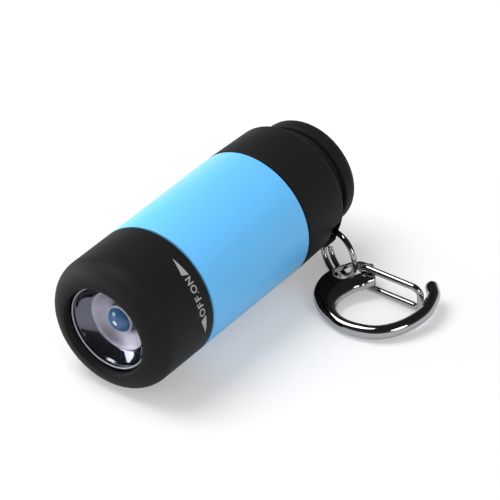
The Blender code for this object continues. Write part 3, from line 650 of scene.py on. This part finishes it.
class TORCH_OT_make_head(Operator):
    """Twist head with its large front edge and its switch print"""

    bl_idname = "torch.make_head"
    bl_label = "Twist head"

    # Each letter: its angle round the head in degrees, and its width and height in letter heights
    LETTERS = (
        ("O", 12.4, 0.98, 1.0),
        ("F", 19.2, 0.6, 1.0),
        ("F", 25.1, 0.6, 1.0),
        (".", 28.9, 0.16, 0.16),
        ("O", 33.3, 0.98, 1.0),
        ("N", 40.6, 0.86, 1.0),
    )
    # The two arrowheads: angles in degrees, and heights above the letters' foot in letter heights
    ARROWS = (
        ((44.6, 0.04), (62.1, 0.36), (47.5, 1.02)),
        ((8.4, -0.06), (5.5, 0.92), (-8.3, 0.12)),
    )
    FOOT_STATION = 12.9 * MM

    def execute(self, context):
        sizes = context.scene.torch_sizes
        opening = sizes.lens_opening
        edge = sizes.head_edge
        lip_round = 0.95 * MM
        lip = 1.05 * MM
        seat = 9.8 * MM
        step = 8.2 * MM
        rear = sizes.edge_round
        profile = [(opening, lip)]
        profile += arc((opening + lip_round, lip_round), lip_round, 180, 270, 6)
        profile += arc((RADIUS - edge, edge), edge, -90, 0, 24)
        profile += arc((RADIUS - rear, HEAD_END - rear), rear, 0, 90, 5)
        profile += [(SOCKET_RADIUS, HEAD_END), (SOCKET_RADIUS, step), (seat, step), (seat, lip)]
        head = turned("head_cover", profile, "matt_black_abs")
        place_piece(head, "head", "black_abs", "head_shell")

        flat = bmesh.new()
        high = sizes.letter_height
        for letter, angle, width, height in self.LETTERS:
            bm = letter_outline(letter, width * high, height * high)
            bmesh.ops.translate(bm, verts=bm.verts, vec=(math.radians(angle) * RADIUS, 0, 0))
            part = bpy.data.meshes.new("letter")
            bm.to_mesh(part)
            bm.free()
            flat.from_mesh(part)
            bpy.data.meshes.remove(part)
        for arrow in self.ARROWS:
            corners = [(math.radians(a) * RADIUS, h * high, 0) for a, h in arrow]
            flat.faces.new([flat.verts.new(corner) for corner in corners])
        ink = wrapped_print("switch_print", flat, self.FOOT_STATION)
        place_piece(ink, "head", "black_abs")
        return {"FINISHED"}


class TORCH_OT_make_lamp(Operator):
    """Clear window, bright stepped cup and lamp dome in the head"""

    bl_idname = "torch.make_lamp"
    bl_label = "Lamp"

    def execute(self, context):
        opening = context.scene.torch_sizes.lens_opening
        low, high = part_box("lens_window")
        front = low.y - FRONT
        back = high.y - FRONT
        edge = (high.x - low.x) / 2
        chamfer = 0.12 * MM
        disc = [(0, front), (edge - chamfer, front), (edge, front + chamfer)]
        disc += [(edge, back - chamfer), (edge - chamfer, back), (0, back)]
        place_piece(turned("window_disc", disc, "window"), "head", "clear_acrylic", "lens_window")

        rim_inset = 0.37 * MM
        rim_depth = 0.55 * MM
        rim_wire = 0.16 * MM
        rim = arc((opening - rim_inset, front + rim_depth), rim_wire, 0, 360, 12)[:-1]
        place_piece(turned("window_rim", rim, "window_edge"), "head", "clear_acrylic")

        low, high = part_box("reflector")
        front = low.y - FRONT
        back = high.y - FRONT
        edge = (high.x - low.x) / 2
        step_station = front + 2.1 * MM
        step_radius = 5.9 * MM
        step_round = 0.12 * MM
        lip_round = 0.15 * MM
        lip_depth = 0.2 * MM
        wall_bulge = 0.1 * MM
        cone_depth = 1.7 * MM
        cone_dish = 0.25 * MM
        throat = 2.9 * MM
        brim = opening - 0.5 * MM
        cup = [(opening + 0.25 * MM, front)]
        cup += arc((brim + 0.1 * MM, front + lip_round), lip_round, -90, -150, 3)
        for i in range(1, 9):
            share = i / 8
            bulge = wall_bulge * math.sin(math.pi * share)
            radius = brim + (step_radius - brim) * share
            depth = step_station - front - lip_depth
            cup.append((radius + bulge, front + lip_depth + depth * share + bulge * 0.6))
        wall_count = len(cup) - 1
        cone_top = step_radius - step_round
        cup += [(cone_top, step_station + 0.02 * MM)]
        for i in range(1, 7):
            share = i / 6
            dish = cone_dish * math.sin(math.pi * share)
            cup.append((cone_top + (throat - cone_top) * share, step_station + cone_depth * share + dish))
        cone_end = len(cup) - 1
        cup += [(throat, back), (step_radius + 1.2 * MM, back), (edge, front + 1.0 * MM), (edge, front)]
        bands = [0] * wall_count + [1] * (cone_end - wall_count) + [0] * (len(cup) - cone_end)
        reflector = turned("stepped_cup", cup, "cup_wall", "cup_cone", bands=bands)
        place_piece(reflector, "head", "mirror_film", "reflector")

        low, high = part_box("led_lamp")
        tip = low.y - FRONT
        foot = high.y - FRONT
        radius = (high.x - low.x) / 2
        sink = 0.6 * MM
        flatness = 1 - sink / radius
        quarter = arc((0, tip + radius), radius, -90, 0, 14)[1:]
        dome = [(0, tip + sink)] + [(r, tip + sink + flatness * (s - tip)) for r, s in quarter]
        dome += [(radius, foot), (0, foot)]
        place_piece(turned("lamp_dome", dome, "lamp_epoxy", sides=72), "head", "led_epoxy", "led_lamp")
        ring_station = tip + sink + (radius - sink) * 0.74
        ring_wire = 0.24 * MM
        ring = arc((radius * 0.985, ring_station), ring_wire, 0, 360, 12)[:-1]
        place_piece(turned("lamp_rim", ring, "lamp_rim", sides=72), "head", "led_epoxy")

        painted_node("lens_seal", "rubber")
        painted_node("led_board", "plain_white_abs")
        painted_node("head_retainer", "plain_white_abs")
        return {"FINISHED"}


class TORCH_OT_make_body(Operator):
    """Blue sleeve, barrel and seals"""

    bl_idname = "torch.make_body"
    bl_label = "Sleeve and barrel"

    def execute(self, context):
        small = context.scene.torch_sizes.edge_round
        sleeve = [(SOCKET_RADIUS, BODY_START)]
        sleeve += arc((RADIUS - small, BODY_START + small), small, -90, 0, 5)
        sleeve += arc((RADIUS - small, BODY_END - small), small, 0, 90, 5)
        sleeve += [(SOCKET_RADIUS, BODY_END)]
        cover = turned("blue_sleeve", sleeve, "satin_blue_abs")
        # The chrome shows no blue, so the sleeve is left out of mirror reflections
        cover.visible_glossy = False
        place_piece(cover, "body", "blue_abs", "body_shell")

        low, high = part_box("inner_sleeve")
        front = low.y - FRONT
        back = high.y - FRONT
        outer = (high.z - low.z) / 2
        wall = 1.85 * MM
        hollow = outer - wall
        lead = 0.4 * MM
        depth = 1.05 * MM
        seal_play = 0.3 * MM
        barrel = [(hollow, front), (outer - lead, front), (outer, front + lead)]
        for name in ("head_seal", "tail_seal"):
            first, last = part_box(name)
            middle = (first.y + last.y) / 2 - FRONT
            section = (last.y - first.y) / 2
            half = section + seal_play
            barrel += [(outer, middle - half), (outer - depth, middle - half)]
            barrel += [(outer - depth, middle + half), (outer, middle + half)]
            rubber = arc(((last.z - first.z) / 2 - section, middle), section, 0, 360, 16)[:-1]
            place_piece(turned(name + "_ring", rubber, "rubber"), "body", "black_rubber", name)
        barrel += [(outer, back - lead), (outer - lead, back), (hollow, back)]
        place_piece(turned("barrel", barrel, "barrel_abs"), "body", "black_abs", "inner_sleeve")
        return {"FINISHED"}


class TORCH_OT_make_cap(Operator):
    """Tail cap with its waist groove and its sunk lanyard bar"""

    bl_idname = "torch.make_cap"
    bl_label = "Tail cap"

    def execute(self, context):
        small = context.scene.torch_sizes.edge_round
        skirt_round = 0.9 * MM
        flange_round = 2.0 * MM
        front_round = 0.4 * MM
        neck_round = 0.3 * MM
        bore = 8.0 * MM
        socket_end = CAP_START + 4.7 * MM
        floor = CAP_END - 1.8 * MM
        profile = [(0, CAP_END)]
        profile += arc((FLANGE_RADIUS - flange_round, CAP_END - flange_round), flange_round, 90, 0, 12)
        profile += arc((FLANGE_RADIUS - front_round, FLANGE_START + front_round), front_round, 0, -90, 5)
        profile += arc((NECK_RADIUS + neck_round, FLANGE_START - neck_round), neck_round, 90, 180, 4)
        profile += arc((NECK_RADIUS + neck_round, SKIRT_END + neck_round), neck_round, 180, 270, 4)
        skirt_middle = (SKIRT_END_RADIUS - skirt_round, SKIRT_END - skirt_round)
        profile += arc(skirt_middle, skirt_round, 90, 0, 8)
        profile += arc((RADIUS - small, CAP_START + small), small, 0, -90, 5)
        profile += [(SOCKET_RADIUS, CAP_START), (SOCKET_RADIUS, socket_end)]
        profile += [(bore, socket_end), (bore, floor), (0, floor)]
        cap = turned("cap_cover", profile, "matt_black_abs")
        top = BAR_TOP + RING_CLEARANCE
        recess = [(RECESS_FLOOR, RECESS_START), (top, RECESS_START)]
        recess += [(top, RECESS_END), (RECESS_FLOOR, RECESS_END)]
        cap = cut(cap, self.plate("recess", recess, RECESS_WIDTH))
        place_piece(cap, "cap", "black_abs", "tail_cap")

        under = BAR_TOP - BAR_THICKNESS
        root = BAR_THICKNESS / 2
        outline = [(under, RECESS_START - root), (under + root, RECESS_START - root)]
        outline += [(BAR_TOP, RECESS_START + root / 2), (BAR_TOP, RECESS_END - root / 2)]
        outline += [(under + root, RECESS_END + root), (under, RECESS_END + root)]
        bar = self.plate("lanyard_bar", outline, BAR_WIDTH)
        place_piece(softened(bar, 0.15 * MM), "cap", "black_abs")
        return {"FINISHED"}

    def plate(self, name, outline, thickness):
        """A plate across the cap at the bar's angle, from an outline of (radius, station) pairs."""
        out = Vector((math.cos(BAR_ANGLE), 0, math.sin(BAR_ANGLE)))
        side = Vector((0, 1, 0)).cross(out)
        start = AXIS - side * thickness / 2
        points = [start + out * r + Vector((0, FRONT + s, 0)) for r, s in outline]
        return extruded(name, points, side * thickness, "matt_black_abs")


def hook_frame():
    """The hook's own frame, from its eye and from the axis of its gate."""
    up = -Vector(JOINTS["gate_swing"]["axis"]).normalized()
    tilt = math.atan2(-up.y, up.z)
    turn = Matrix.Rotation(tilt, 4, "X")
    eye = Vector(JOINTS["hook_swing"]["pos_m"])
    return Matrix.Translation(eye - turn @ Vector((*EYE_CENTRE, 0))) @ turn


def smooth_line(points, steps):
    """A smooth curve through the points, each stretch cut into equal steps."""
    ends = [2 * points[0] - points[1], *points, 2 * points[-1] - points[-2]]
    line = []
    for a, b, c, d in zip(ends, ends[1:], ends[2:], ends[3:]):
        for i in range(steps):
            t = i / steps
            square = (2 * a - 5 * b + 4 * c - d) * t**2
            cube = (3 * b - a - 3 * c + d) * t**3
            line.append((2 * b + (c - a) * t + square + cube) / 2)
    return line + [points[-1]]


def blend(share, start, end):
    """A smooth step from 0 to 1 while a share goes from start to end."""
    t = min(max((share - start) / (end - start), 0), 1)
    return t * t * (3 - 2 * t)


def hook_points():
    """The points of the hook's centre line in its own frame."""
    return [Vector((x * MM, y * MM, 0)) for x, y in HOOK_LINE]


def ring_frame():
    """The ring's middle, the way from it to the hook's eye, the way of the wire there and its normal."""
    reach = BAR_TOP - BAR_THICKNESS - RING_CLEARANCE - RING_WIRE
    out = Vector((math.cos(BAR_ANGLE), 0, math.sin(BAR_ANGLE)))
    top = AXIS + out * reach + Vector((0, FRONT + SKIRT_END - RING_FROM_END, 0))
    eye = Vector(JOINTS["hook_swing"]["pos_m"])
    across = (eye - top).normalized()
    normal = across.cross(Vector(JOINTS["hook_swing"]["axis"])).normalized()
    return (top + eye) / 2, across, normal.cross(across), normal


def ring_rise(turn):
    """How far the coil has climbed from the ring's middle plane at this turn."""
    return RING_PITCH * ((turn - RING_START) / (2 * math.pi) - RING_TURNS / 2)


class TORCH_OT_make_ring(Operator):
    """Split ring between the cap's bar and the hook's eye"""

    bl_idname = "torch.make_ring"
    bl_label = "Split ring"

    def execute(self, context):
        middle, across, sideways, normal = ring_frame()
        count = 120
        line = []
        for i in range(count + 1):
            turn = RING_START + 2 * math.pi * RING_TURNS * i / count
            spoke = across * math.cos(turn) + sideways * math.sin(turn)
            line.append(middle + spoke * RING_RADIUS + normal * ring_rise(turn))
        place_piece(wire("ring_wire", line, RING_WIRE, "bright_chrome", 28), "ring", "chrome", "split_ring")
        return {"FINISHED"}


class TORCH_OT_make_hook(Operator):
    """Cast hook with its flat arm, its slotted eye and its round bow"""

    bl_idname = "torch.make_hook"
    bl_label = "Hook"

    ARM_WIDTH = 7.0 * MM
    ARM_TIP_WIDTH = 5.0 * MM
    ARM_TIP_SHARE = 0.06
    ARM_SQUARENESS = 2.5
    ARM_END_SHARE = 0.18
    BOW_START_SHARE = 0.46
    BOW_HEIGHT = 2.7 * MM
    BOW_SKIN = 2.55 * MM
    EYE_RADIUS = 1.5 * MM
    EYE_LENGTH = 2.8 * MM
    EYE_ANGLE = math.radians(60)
    PIN_PLAY = 0.2 * MM
    SIDES = 40
    # The arm's end is rounded off by this length and by this share of its width
    ARM_END_ROUND = 0.5 * MM
    ARM_END_LOSS = 0.18
    # Loops on each rounded end, and the number at which that end would close to a point
    ARM_END_LOOPS = (4, 4.3)
    NOSE_LOOPS = (7, 7.4)
    CAST_GRAIN = 0.13 * MM
    CAST_ROUNDS = 16

    def section(self, share):
        """Width, height and squareness of the hook at a share of its length."""
        widening = blend(share, 0, self.ARM_TIP_SHARE)
        arm = self.ARM_TIP_WIDTH + (self.ARM_WIDTH - self.ARM_TIP_WIDTH) * widening
        t = blend(share, self.ARM_END_SHARE, self.BOW_START_SHARE)
        return (
            arm + (self.BOW_SKIN - arm) * t,
            ARM_HEIGHT + (self.BOW_HEIGHT - ARM_HEIGHT) * t,
            self.ARM_SQUARENESS + (2 - self.ARM_SQUARENESS) * t,
        )

    def stations(self):
        """Each loop of the casting: its place, its direction, its share of the length and its scale."""
        line = smooth_line(hook_points(), 12)
        last = len(line) - 1
        places = []
        for i, point in enumerate(line):
            ahead = (line[min(i + 1, last)] - line[max(i - 1, 0)]).normalized()
            places.append((point, ahead, i / last, 1.0))
        foot, ahead = places[0][:2]
        count, closing = self.ARM_END_LOOPS
        start = []
        for i in range(count, 0, -1):
            angle = math.pi / 2 * i / closing
            place = foot - ahead * self.ARM_END_ROUND * math.sin(angle)
            start.append((place, ahead, 0.0, 1 - self.ARM_END_LOSS + self.ARM_END_LOSS * math.cos(angle)))
        tip, ahead = places[-1][:2]
        count, closing = self.NOSE_LOOPS
        end = []
        for i in range(1, count + 1):
            angle = math.pi / 2 * i / closing
            end.append((tip + ahead * BOW_WIDTH / 2 * math.sin(angle), ahead, 1.0, math.cos(angle)))
        return start + places + end

    def loft(self, frame):
        """The casting before its holes, as a skin over its loops."""
        bm = bmesh.new()
        loops = []
        for point, ahead, share, shrink in self.stations():
            width, height, squareness = self.section(share)
            side = Vector((0, 0, 1)).cross(ahead)
            loop = []
            for k in range(self.SIDES):
                angle = 2 * math.pi * (k + 0.5) / self.SIDES
                c, s = math.cos(angle), math.sin(angle)
                u = math.copysign(abs(c) ** (2 / squareness), c) * width / 2 * shrink
                v = math.copysign(abs(s) ** (2 / squareness), s) * height / 2 * shrink
                loop.append(bm.verts.new(frame @ (point + side * u + Vector((0, 0, v)))))
            loops.append(loop)
        for one, two in zip(loops, loops[1:]):
            for k in range(self.SIDES):
                after = (k + 1) % self.SIDES
                bm.faces.new((one[k], one[after], two[after], two[k]))
        bm.faces.new(loops[0][::-1])
        bm.faces.new(loops[-1])
        return object_from("hook_casting", bm, "bright_chrome", sharp=50)

    def execute(self, context):
        frame = hook_frame()
        hook = self.loft(frame)
        up = (frame.to_3x3() @ Vector((0, 0, 1))).normalized()
        _, _, tangent, normal = ring_frame()
        top = frame @ Vector((*EYE_CENTRE, 0)) + normal * ring_rise(0)
        along = frame.to_3x3() @ Vector((math.cos(self.EYE_ANGLE), math.sin(self.EYE_ANGLE), 0))
        bottom = top - along * self.EYE_LENGTH
        eye = round_ended_bar("eye", top, bottom, tangent, self.EYE_RADIUS, 4 * ARM_HEIGHT)
        hook = cut(hook, eye)
        pivot = Vector(JOINTS["gate_swing"]["pos_m"])
        pin = context.scene.torch_sizes.gate_wire + self.PIN_PLAY
        hook = cut(hook, cylinder("hole", pivot, up, pin, 2 * ARM_HEIGHT))
        hook = cast(hook, self.CAST_GRAIN, self.CAST_ROUNDS)
        place_piece(hook, "hook", "chrome", "hook_body")
        return {"FINISHED"}


class TORCH_OT_make_gate(Operator):
    """Wire gate, two legs and a closed end that meets the nose"""

    bl_idname = "torch.make_gate"
    bl_label = "Wire gate"

    BEND = 1.6 * MM
    PIVOT_DEPTH = 0.9 * MM

    def execute(self, context):
        radius = context.scene.torch_sizes.gate_wire
        frame = hook_frame()
        line = hook_points()
        pivot = line[0] + (line[1] - line[0]).normalized() * GATE_PIVOT_INSET
        nose = min(smooth_line(line[-4:], 12), key=lambda p: abs(p.y - GATE_NOSE_HEIGHT))
        shut = nose.x - BOW_WIDTH / 2 - RING_CLEARANCE - radius
        end = Vector((shut, GATE_NOSE_HEIGHT, 0))
        along = (end - pivot).normalized()
        length = (end - pivot).length
        leg = ARM_HEIGHT / 2 + RING_CLEARANCE + radius
        tuck = radius * 1.5
        profile = [(0.0, ARM_HEIGHT / 2 - self.PIVOT_DEPTH)]
        profile += arc((tuck, leg - tuck), tuck, 180, 90, 8)
        profile += [(length * i / 8, leg) for i in range(2, 7)]
        profile += arc((length - self.BEND, leg - self.BEND), self.BEND, 90, 0, 12)
        profile += [(x, -z) for x, z in profile[::-1]]
        points = [frame @ (pivot + along * x + Vector((0, 0, z))) for x, z in profile]
        place_piece(wire("gate_loop", points, radius, "bright_chrome"), "gate", "chrome", "gate_wire")
        return {"FINISHED"}


class TORCH_OT_make_plug(Operator):
    """USB plug under the cap: sheet-metal shell, tongue and contacts"""

    bl_idname = "torch.make_plug"
    bl_label = "Plug"

    WALL = 0.35 * MM
    CORNER = 0.6 * MM
    CONTACTS = 4
    PITCH = 2.5 * MM
    LATCH_OFFSET = 2.6 * MM
    LATCH_FROM_END = 6.4 * MM
    LATCH_HALF_WIDTH = 1.2 * MM
    LATCH_HALF_LENGTH = 1.0 * MM

    def box_outline(self, half_width, half_height, corner, station):
        """A rectangle with round corners across the torch at this station."""
        points = []
        for turn, sx, sz in ((0, 1, 1), (90, -1, 1), (180, -1, -1), (270, 1, -1)):
            middle = (sx * (half_width - corner), sz * (half_height - corner))
            points += arc(middle, corner, turn, turn + 90, 5)
        return [AXIS + Vector((x, FRONT + station, z)) for x, z in points]

    def execute(self, context):
        low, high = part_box("usb_shell")
        start = low.y - FRONT
        end = high.y - FRONT
        half_width = (high.x - low.x) / 2
        half_height = (high.z - low.z) / 2
        outline = self.box_outline(half_width, half_height, self.CORNER, start)
        shell = extruded("plug_shell", outline, Vector((0, end - start, 0)), "nickel_sheet")
        reach = 1 * MM
        inside = self.box_outline(
            half_width - self.WALL, half_height - self.WALL, self.CORNER - self.WALL, start - reach
        )
        hollow = extruded("hollow", inside, Vector((0, end - start + 2 * reach, 0)), "nickel_sheet")
        shell = cut(shell, hollow)
        for side in (-1, 1):
            centre = AXIS + Vector((side * self.LATCH_OFFSET, FRONT + end - self.LATCH_FROM_END, 0))
            base = []
            for x, y in ((-1, -1), (1, -1), (1, 1), (-1, 1)):
                corner = (x * self.LATCH_HALF_WIDTH, y * self.LATCH_HALF_LENGTH, -half_height - reach)
                base.append(centre + Vector(corner))
            window = extruded("window", base, Vector((0, 0, 2 * half_height + 2 * reach)), "nickel_sheet")
            shell = cut(shell, window)
        place_piece(shell, "body", "nickel", "usb_shell")

        painted_node("usb_tongue", "plain_white_abs")
        low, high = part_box("usb_contact_1")
        width = high.x - low.x
        nose = width / 2
        outline = [Vector((low.x, low.y, low.z)), Vector((low.x, high.y - nose, low.z))]
        outline += [
            Vector((low.x + nose - nose * math.cos(a), high.y - nose + nose * math.sin(a), low.z))
            for a in [math.pi * i / 8 for i in range(1, 8)]
        ]
        outline += [Vector((high.x, high.y - nose, low.z)), Vector((high.x, low.y, low.z))]
        strip = extruded("plug_contacts", outline, Vector((0, 0, high.z - low.z)), "gold_flash")
        row = with_tree(
            strip, row_tree(), count=self.CONTACTS, pitch=(self.PITCH, 0, 0), finish=finish("gold_flash")
        )
        names = [f"usb_contact_{i + 1}" for i in range(self.CONTACTS)]
        place_piece(row, "body", "gold", *names)

        painted_node("usb_collar", "barrel_abs")
        return {"FINISHED"}


class TORCH_OT_finish_inside(Operator):
    """Contact spring, and finishes of the pieces shut inside the barrel"""

    bl_idname = "torch.finish_inside"
    bl_label = "Inside pieces"

    def execute(self, context):
        low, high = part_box("contact_spring")
        wire_radius = 0.25 * MM
        radius = (high.x - low.x) / 2 - wire_radius
        first = low.y - FRONT + wire_radius
        last = high.y - FRONT - wire_radius
        turns = 3
        count = turns * 28
        coil = []
        for i in range(count + 1):
            angle = 2 * math.pi * turns * i / count
            coil.append(on_torch(angle, radius, first + (last - first) * i / count))
        spring = wire("spring_coil", coil, wire_radius, "spring_wire", 12)
        place_piece(spring, "head", "spring_steel", "contact_spring")
        for name, finish_name in (
            ("cell_cradle", "plain_white_abs"),
            ("front_terminal", "rolled_brass"),
            ("battery_cell", "shrink_wrap"),
            ("rear_terminal", "nickel_sheet"),
            ("charge_board", "board_lacquer"),
            ("charge_chip", "chip_epoxy"),
            ("status_led", "red_lens"),
        ):
            painted_node(name, finish_name)
        return {"FINISHED"}


class TORCH_OT_set_stage(Operator):
    """Pale floor, soft studio light and the camera"""

    bl_idname = "torch.set_stage"
    bl_label = "Stage"

    # Each lamp: its direction from the torch, its distance, width and height in metres, its power in watts
    LAMPS = (
        ("key_light", (-0.42, -0.14, 0.90), 0.60, 0.40, 0.40, 2.6),
        ("side_light", (0.85, -0.30, 0.45), 0.70, 0.30, 0.30, 1.05),
        ("left_light", (-0.90, -0.42, 0.14), 0.45, 0.60, 0.14, 1.6),
    )

    FLOOR_REACH = 2.0
    # How much the floor glows to the camera, in the metal and through the window
    FLOOR_GLOW = 0.30
    # What the metal sees: the grey at each height, from the horizon to straight up
    HORIZON = ((0.12, 0.9), (0.2, 0.08), (0.72, 0.03))

    def execute(self, context):
        scene = context.scene
        scene.view_settings.view_transform = "Standard"
        target = Vector((AXIS.x + VIEW_SIDE, FRONT + VIEW_ALONG, AXIS.z))

        floor_mesh = bpy.data.meshes.new("floor")
        size = self.FLOOR_REACH
        corners = [(-size, -size, 0), (size, -size, 0), (size, size, 0), (-size, size, 0)]
        floor_mesh.from_pydata(corners, [], [(0, 1, 2, 3)])
        floor = linked("floor", floor_mesh)
        floor_mesh.materials.append(self.paper())
        self.set_world(scene)

        for name, direction, distance, width, height, power in self.LAMPS:
            lamp = bpy.data.lights.new(name, "AREA")
            lamp.shape = "ELLIPSE"
            lamp.size = width
            lamp.size_y = height
            lamp.energy = power
            holder = linked(name, lamp)
            toward = Vector(direction).normalized()
            holder.location = target + toward * distance
            holder.rotation_euler = toward.to_track_quat("Z", "Y").to_euler()

        camera = bpy.data.cameras.new("camera")
        camera.lens = VIEW_LENS
        camera.sensor_width = 36
        camera.clip_start = 0.01
        camera.clip_end = 10
        holder = linked("camera", camera)
        level = math.cos(VIEW_RISE)
        back = Vector((math.sin(VIEW_TURN) * level, -math.cos(VIEW_TURN) * level, math.sin(VIEW_RISE)))
        right = Vector((math.cos(VIEW_TURN), math.sin(VIEW_TURN), 0))
        turn = Matrix((right, back.cross(right), back)).transposed().to_4x4()
        holder.matrix_world = Matrix.Translation(target + back * VIEW_DISTANCE) @ turn
        scene.camera = holder
        return {"FINISHED"}

    def paper(self):
        """White paper sweep: it keeps the soft shadow, and shows white to the camera and in the metal."""
        material, tree, shader, coords = new_material("paper_sweep", roughness=0.9)
        shader.inputs["Base Color"].default_value = linear("#CECECE")
        bumped(tree, shader, noise(tree, coords, 2), 0.02, 0.02)
        shader.inputs["Emission Color"].default_value = (1, 1, 1, 1)
        path = node(tree, "ShaderNodeLightPath").outputs
        seen = reckoned(tree, "MAXIMUM", path["Is Camera Ray"], path["Is Glossy Ray"])
        seen = reckoned(tree, "MAXIMUM", seen, path["Is Transmission Ray"])
        glow = reckoned(tree, "MULTIPLY", seen, self.FLOOR_GLOW)
        tree.links.new(glow, shader.inputs["Emission Strength"])
        return material

    def set_world(self, scene):
        """Even white light; the metal sees a white horizon under a darker ceiling."""
        world = bpy.data.worlds.new("studio")
        scene.world = world
        world.use_nodes = True
        tree = world.node_tree
        ground = tree.nodes["Background"]
        path = node(tree, "ShaderNodeLightPath").outputs
        direction = node(tree, "ShaderNodeTexCoord").outputs["Generated"]
        height = node(tree, "ShaderNodeSeparateXYZ", {"Vector": direction}).outputs["Z"]
        ramp = node(tree, "ShaderNodeValToRGB", {"Fac": height})
        ramp.color_ramp.elements[0].position = 0.0
        ramp.color_ramp.elements[0].color = (1, 1, 1, 1)
        ramp.color_ramp.elements[1].position = 1.0
        ramp.color_ramp.elements[1].color = (0.03, 0.03, 0.03, 1)
        for place, grey in self.HORIZON:
            step = ramp.color_ramp.elements.new(place)
            step.color = (grey, grey, grey, 1)
        even = mixed(tree, path["Is Glossy Ray"], (0.5, 0.5, 0.5, 1), ramp.outputs["Color"])
        shown = mixed(tree, path["Is Camera Ray"], even, (1, 1, 1, 1))
        tree.links.new(shown, ground.inputs["Color"])


OPERATORS = (
    TORCH_OT_make_head,
    TORCH_OT_make_lamp,
    TORCH_OT_make_body,
    TORCH_OT_make_cap,
    TORCH_OT_make_ring,
    TORCH_OT_make_hook,
    TORCH_OT_make_gate,
    TORCH_OT_make_plug,
    TORCH_OT_finish_inside,
    TORCH_OT_set_stage,
)


class TORCH_PT_pieces(Panel):
    """Lists the torch's pieces"""

    bl_idname = "TORCH_PT_pieces"
    bl_label = "Keychain torch"
    bl_space_type = "VIEW_3D"
    bl_region_type = "UI"
    bl_category = "Torch"

    def draw(self, context):
        for group in (context.scene.torch_sizes, context.scene.torch_colours):
            for name in group.__annotations__:
                self.layout.prop(group, name)
        for operator in OPERATORS:
            self.layout.operator(operator.bl_idname)


CLASSES = (TorchSizes, TorchColours, *OPERATORS, TORCH_PT_pieces)


def register():
    for each in CLASSES:
        bpy.utils.register_class(each)
    bpy.types.Scene.torch_sizes = PointerProperty(type=TorchSizes)
    bpy.types.Scene.torch_colours = PointerProperty(type=TorchColours)


def unregister():
    del bpy.types.Scene.torch_colours
    del bpy.types.Scene.torch_sizes
    for each in reversed(CLASSES):
        bpy.utils.unregister_class(each)


def main():
    register()
    bpy.ops.torch.make_head()
    bpy.ops.torch.make_lamp()
    bpy.ops.torch.make_body()
    bpy.ops.torch.make_cap()
    bpy.ops.torch.make_ring()
    bpy.ops.torch.make_hook()
    bpy.ops.torch.make_gate()
    bpy.ops.torch.make_plug()
    bpy.ops.torch.finish_inside()
    bpy.ops.torch.set_stage()


if __name__ == "__main__":
    main()
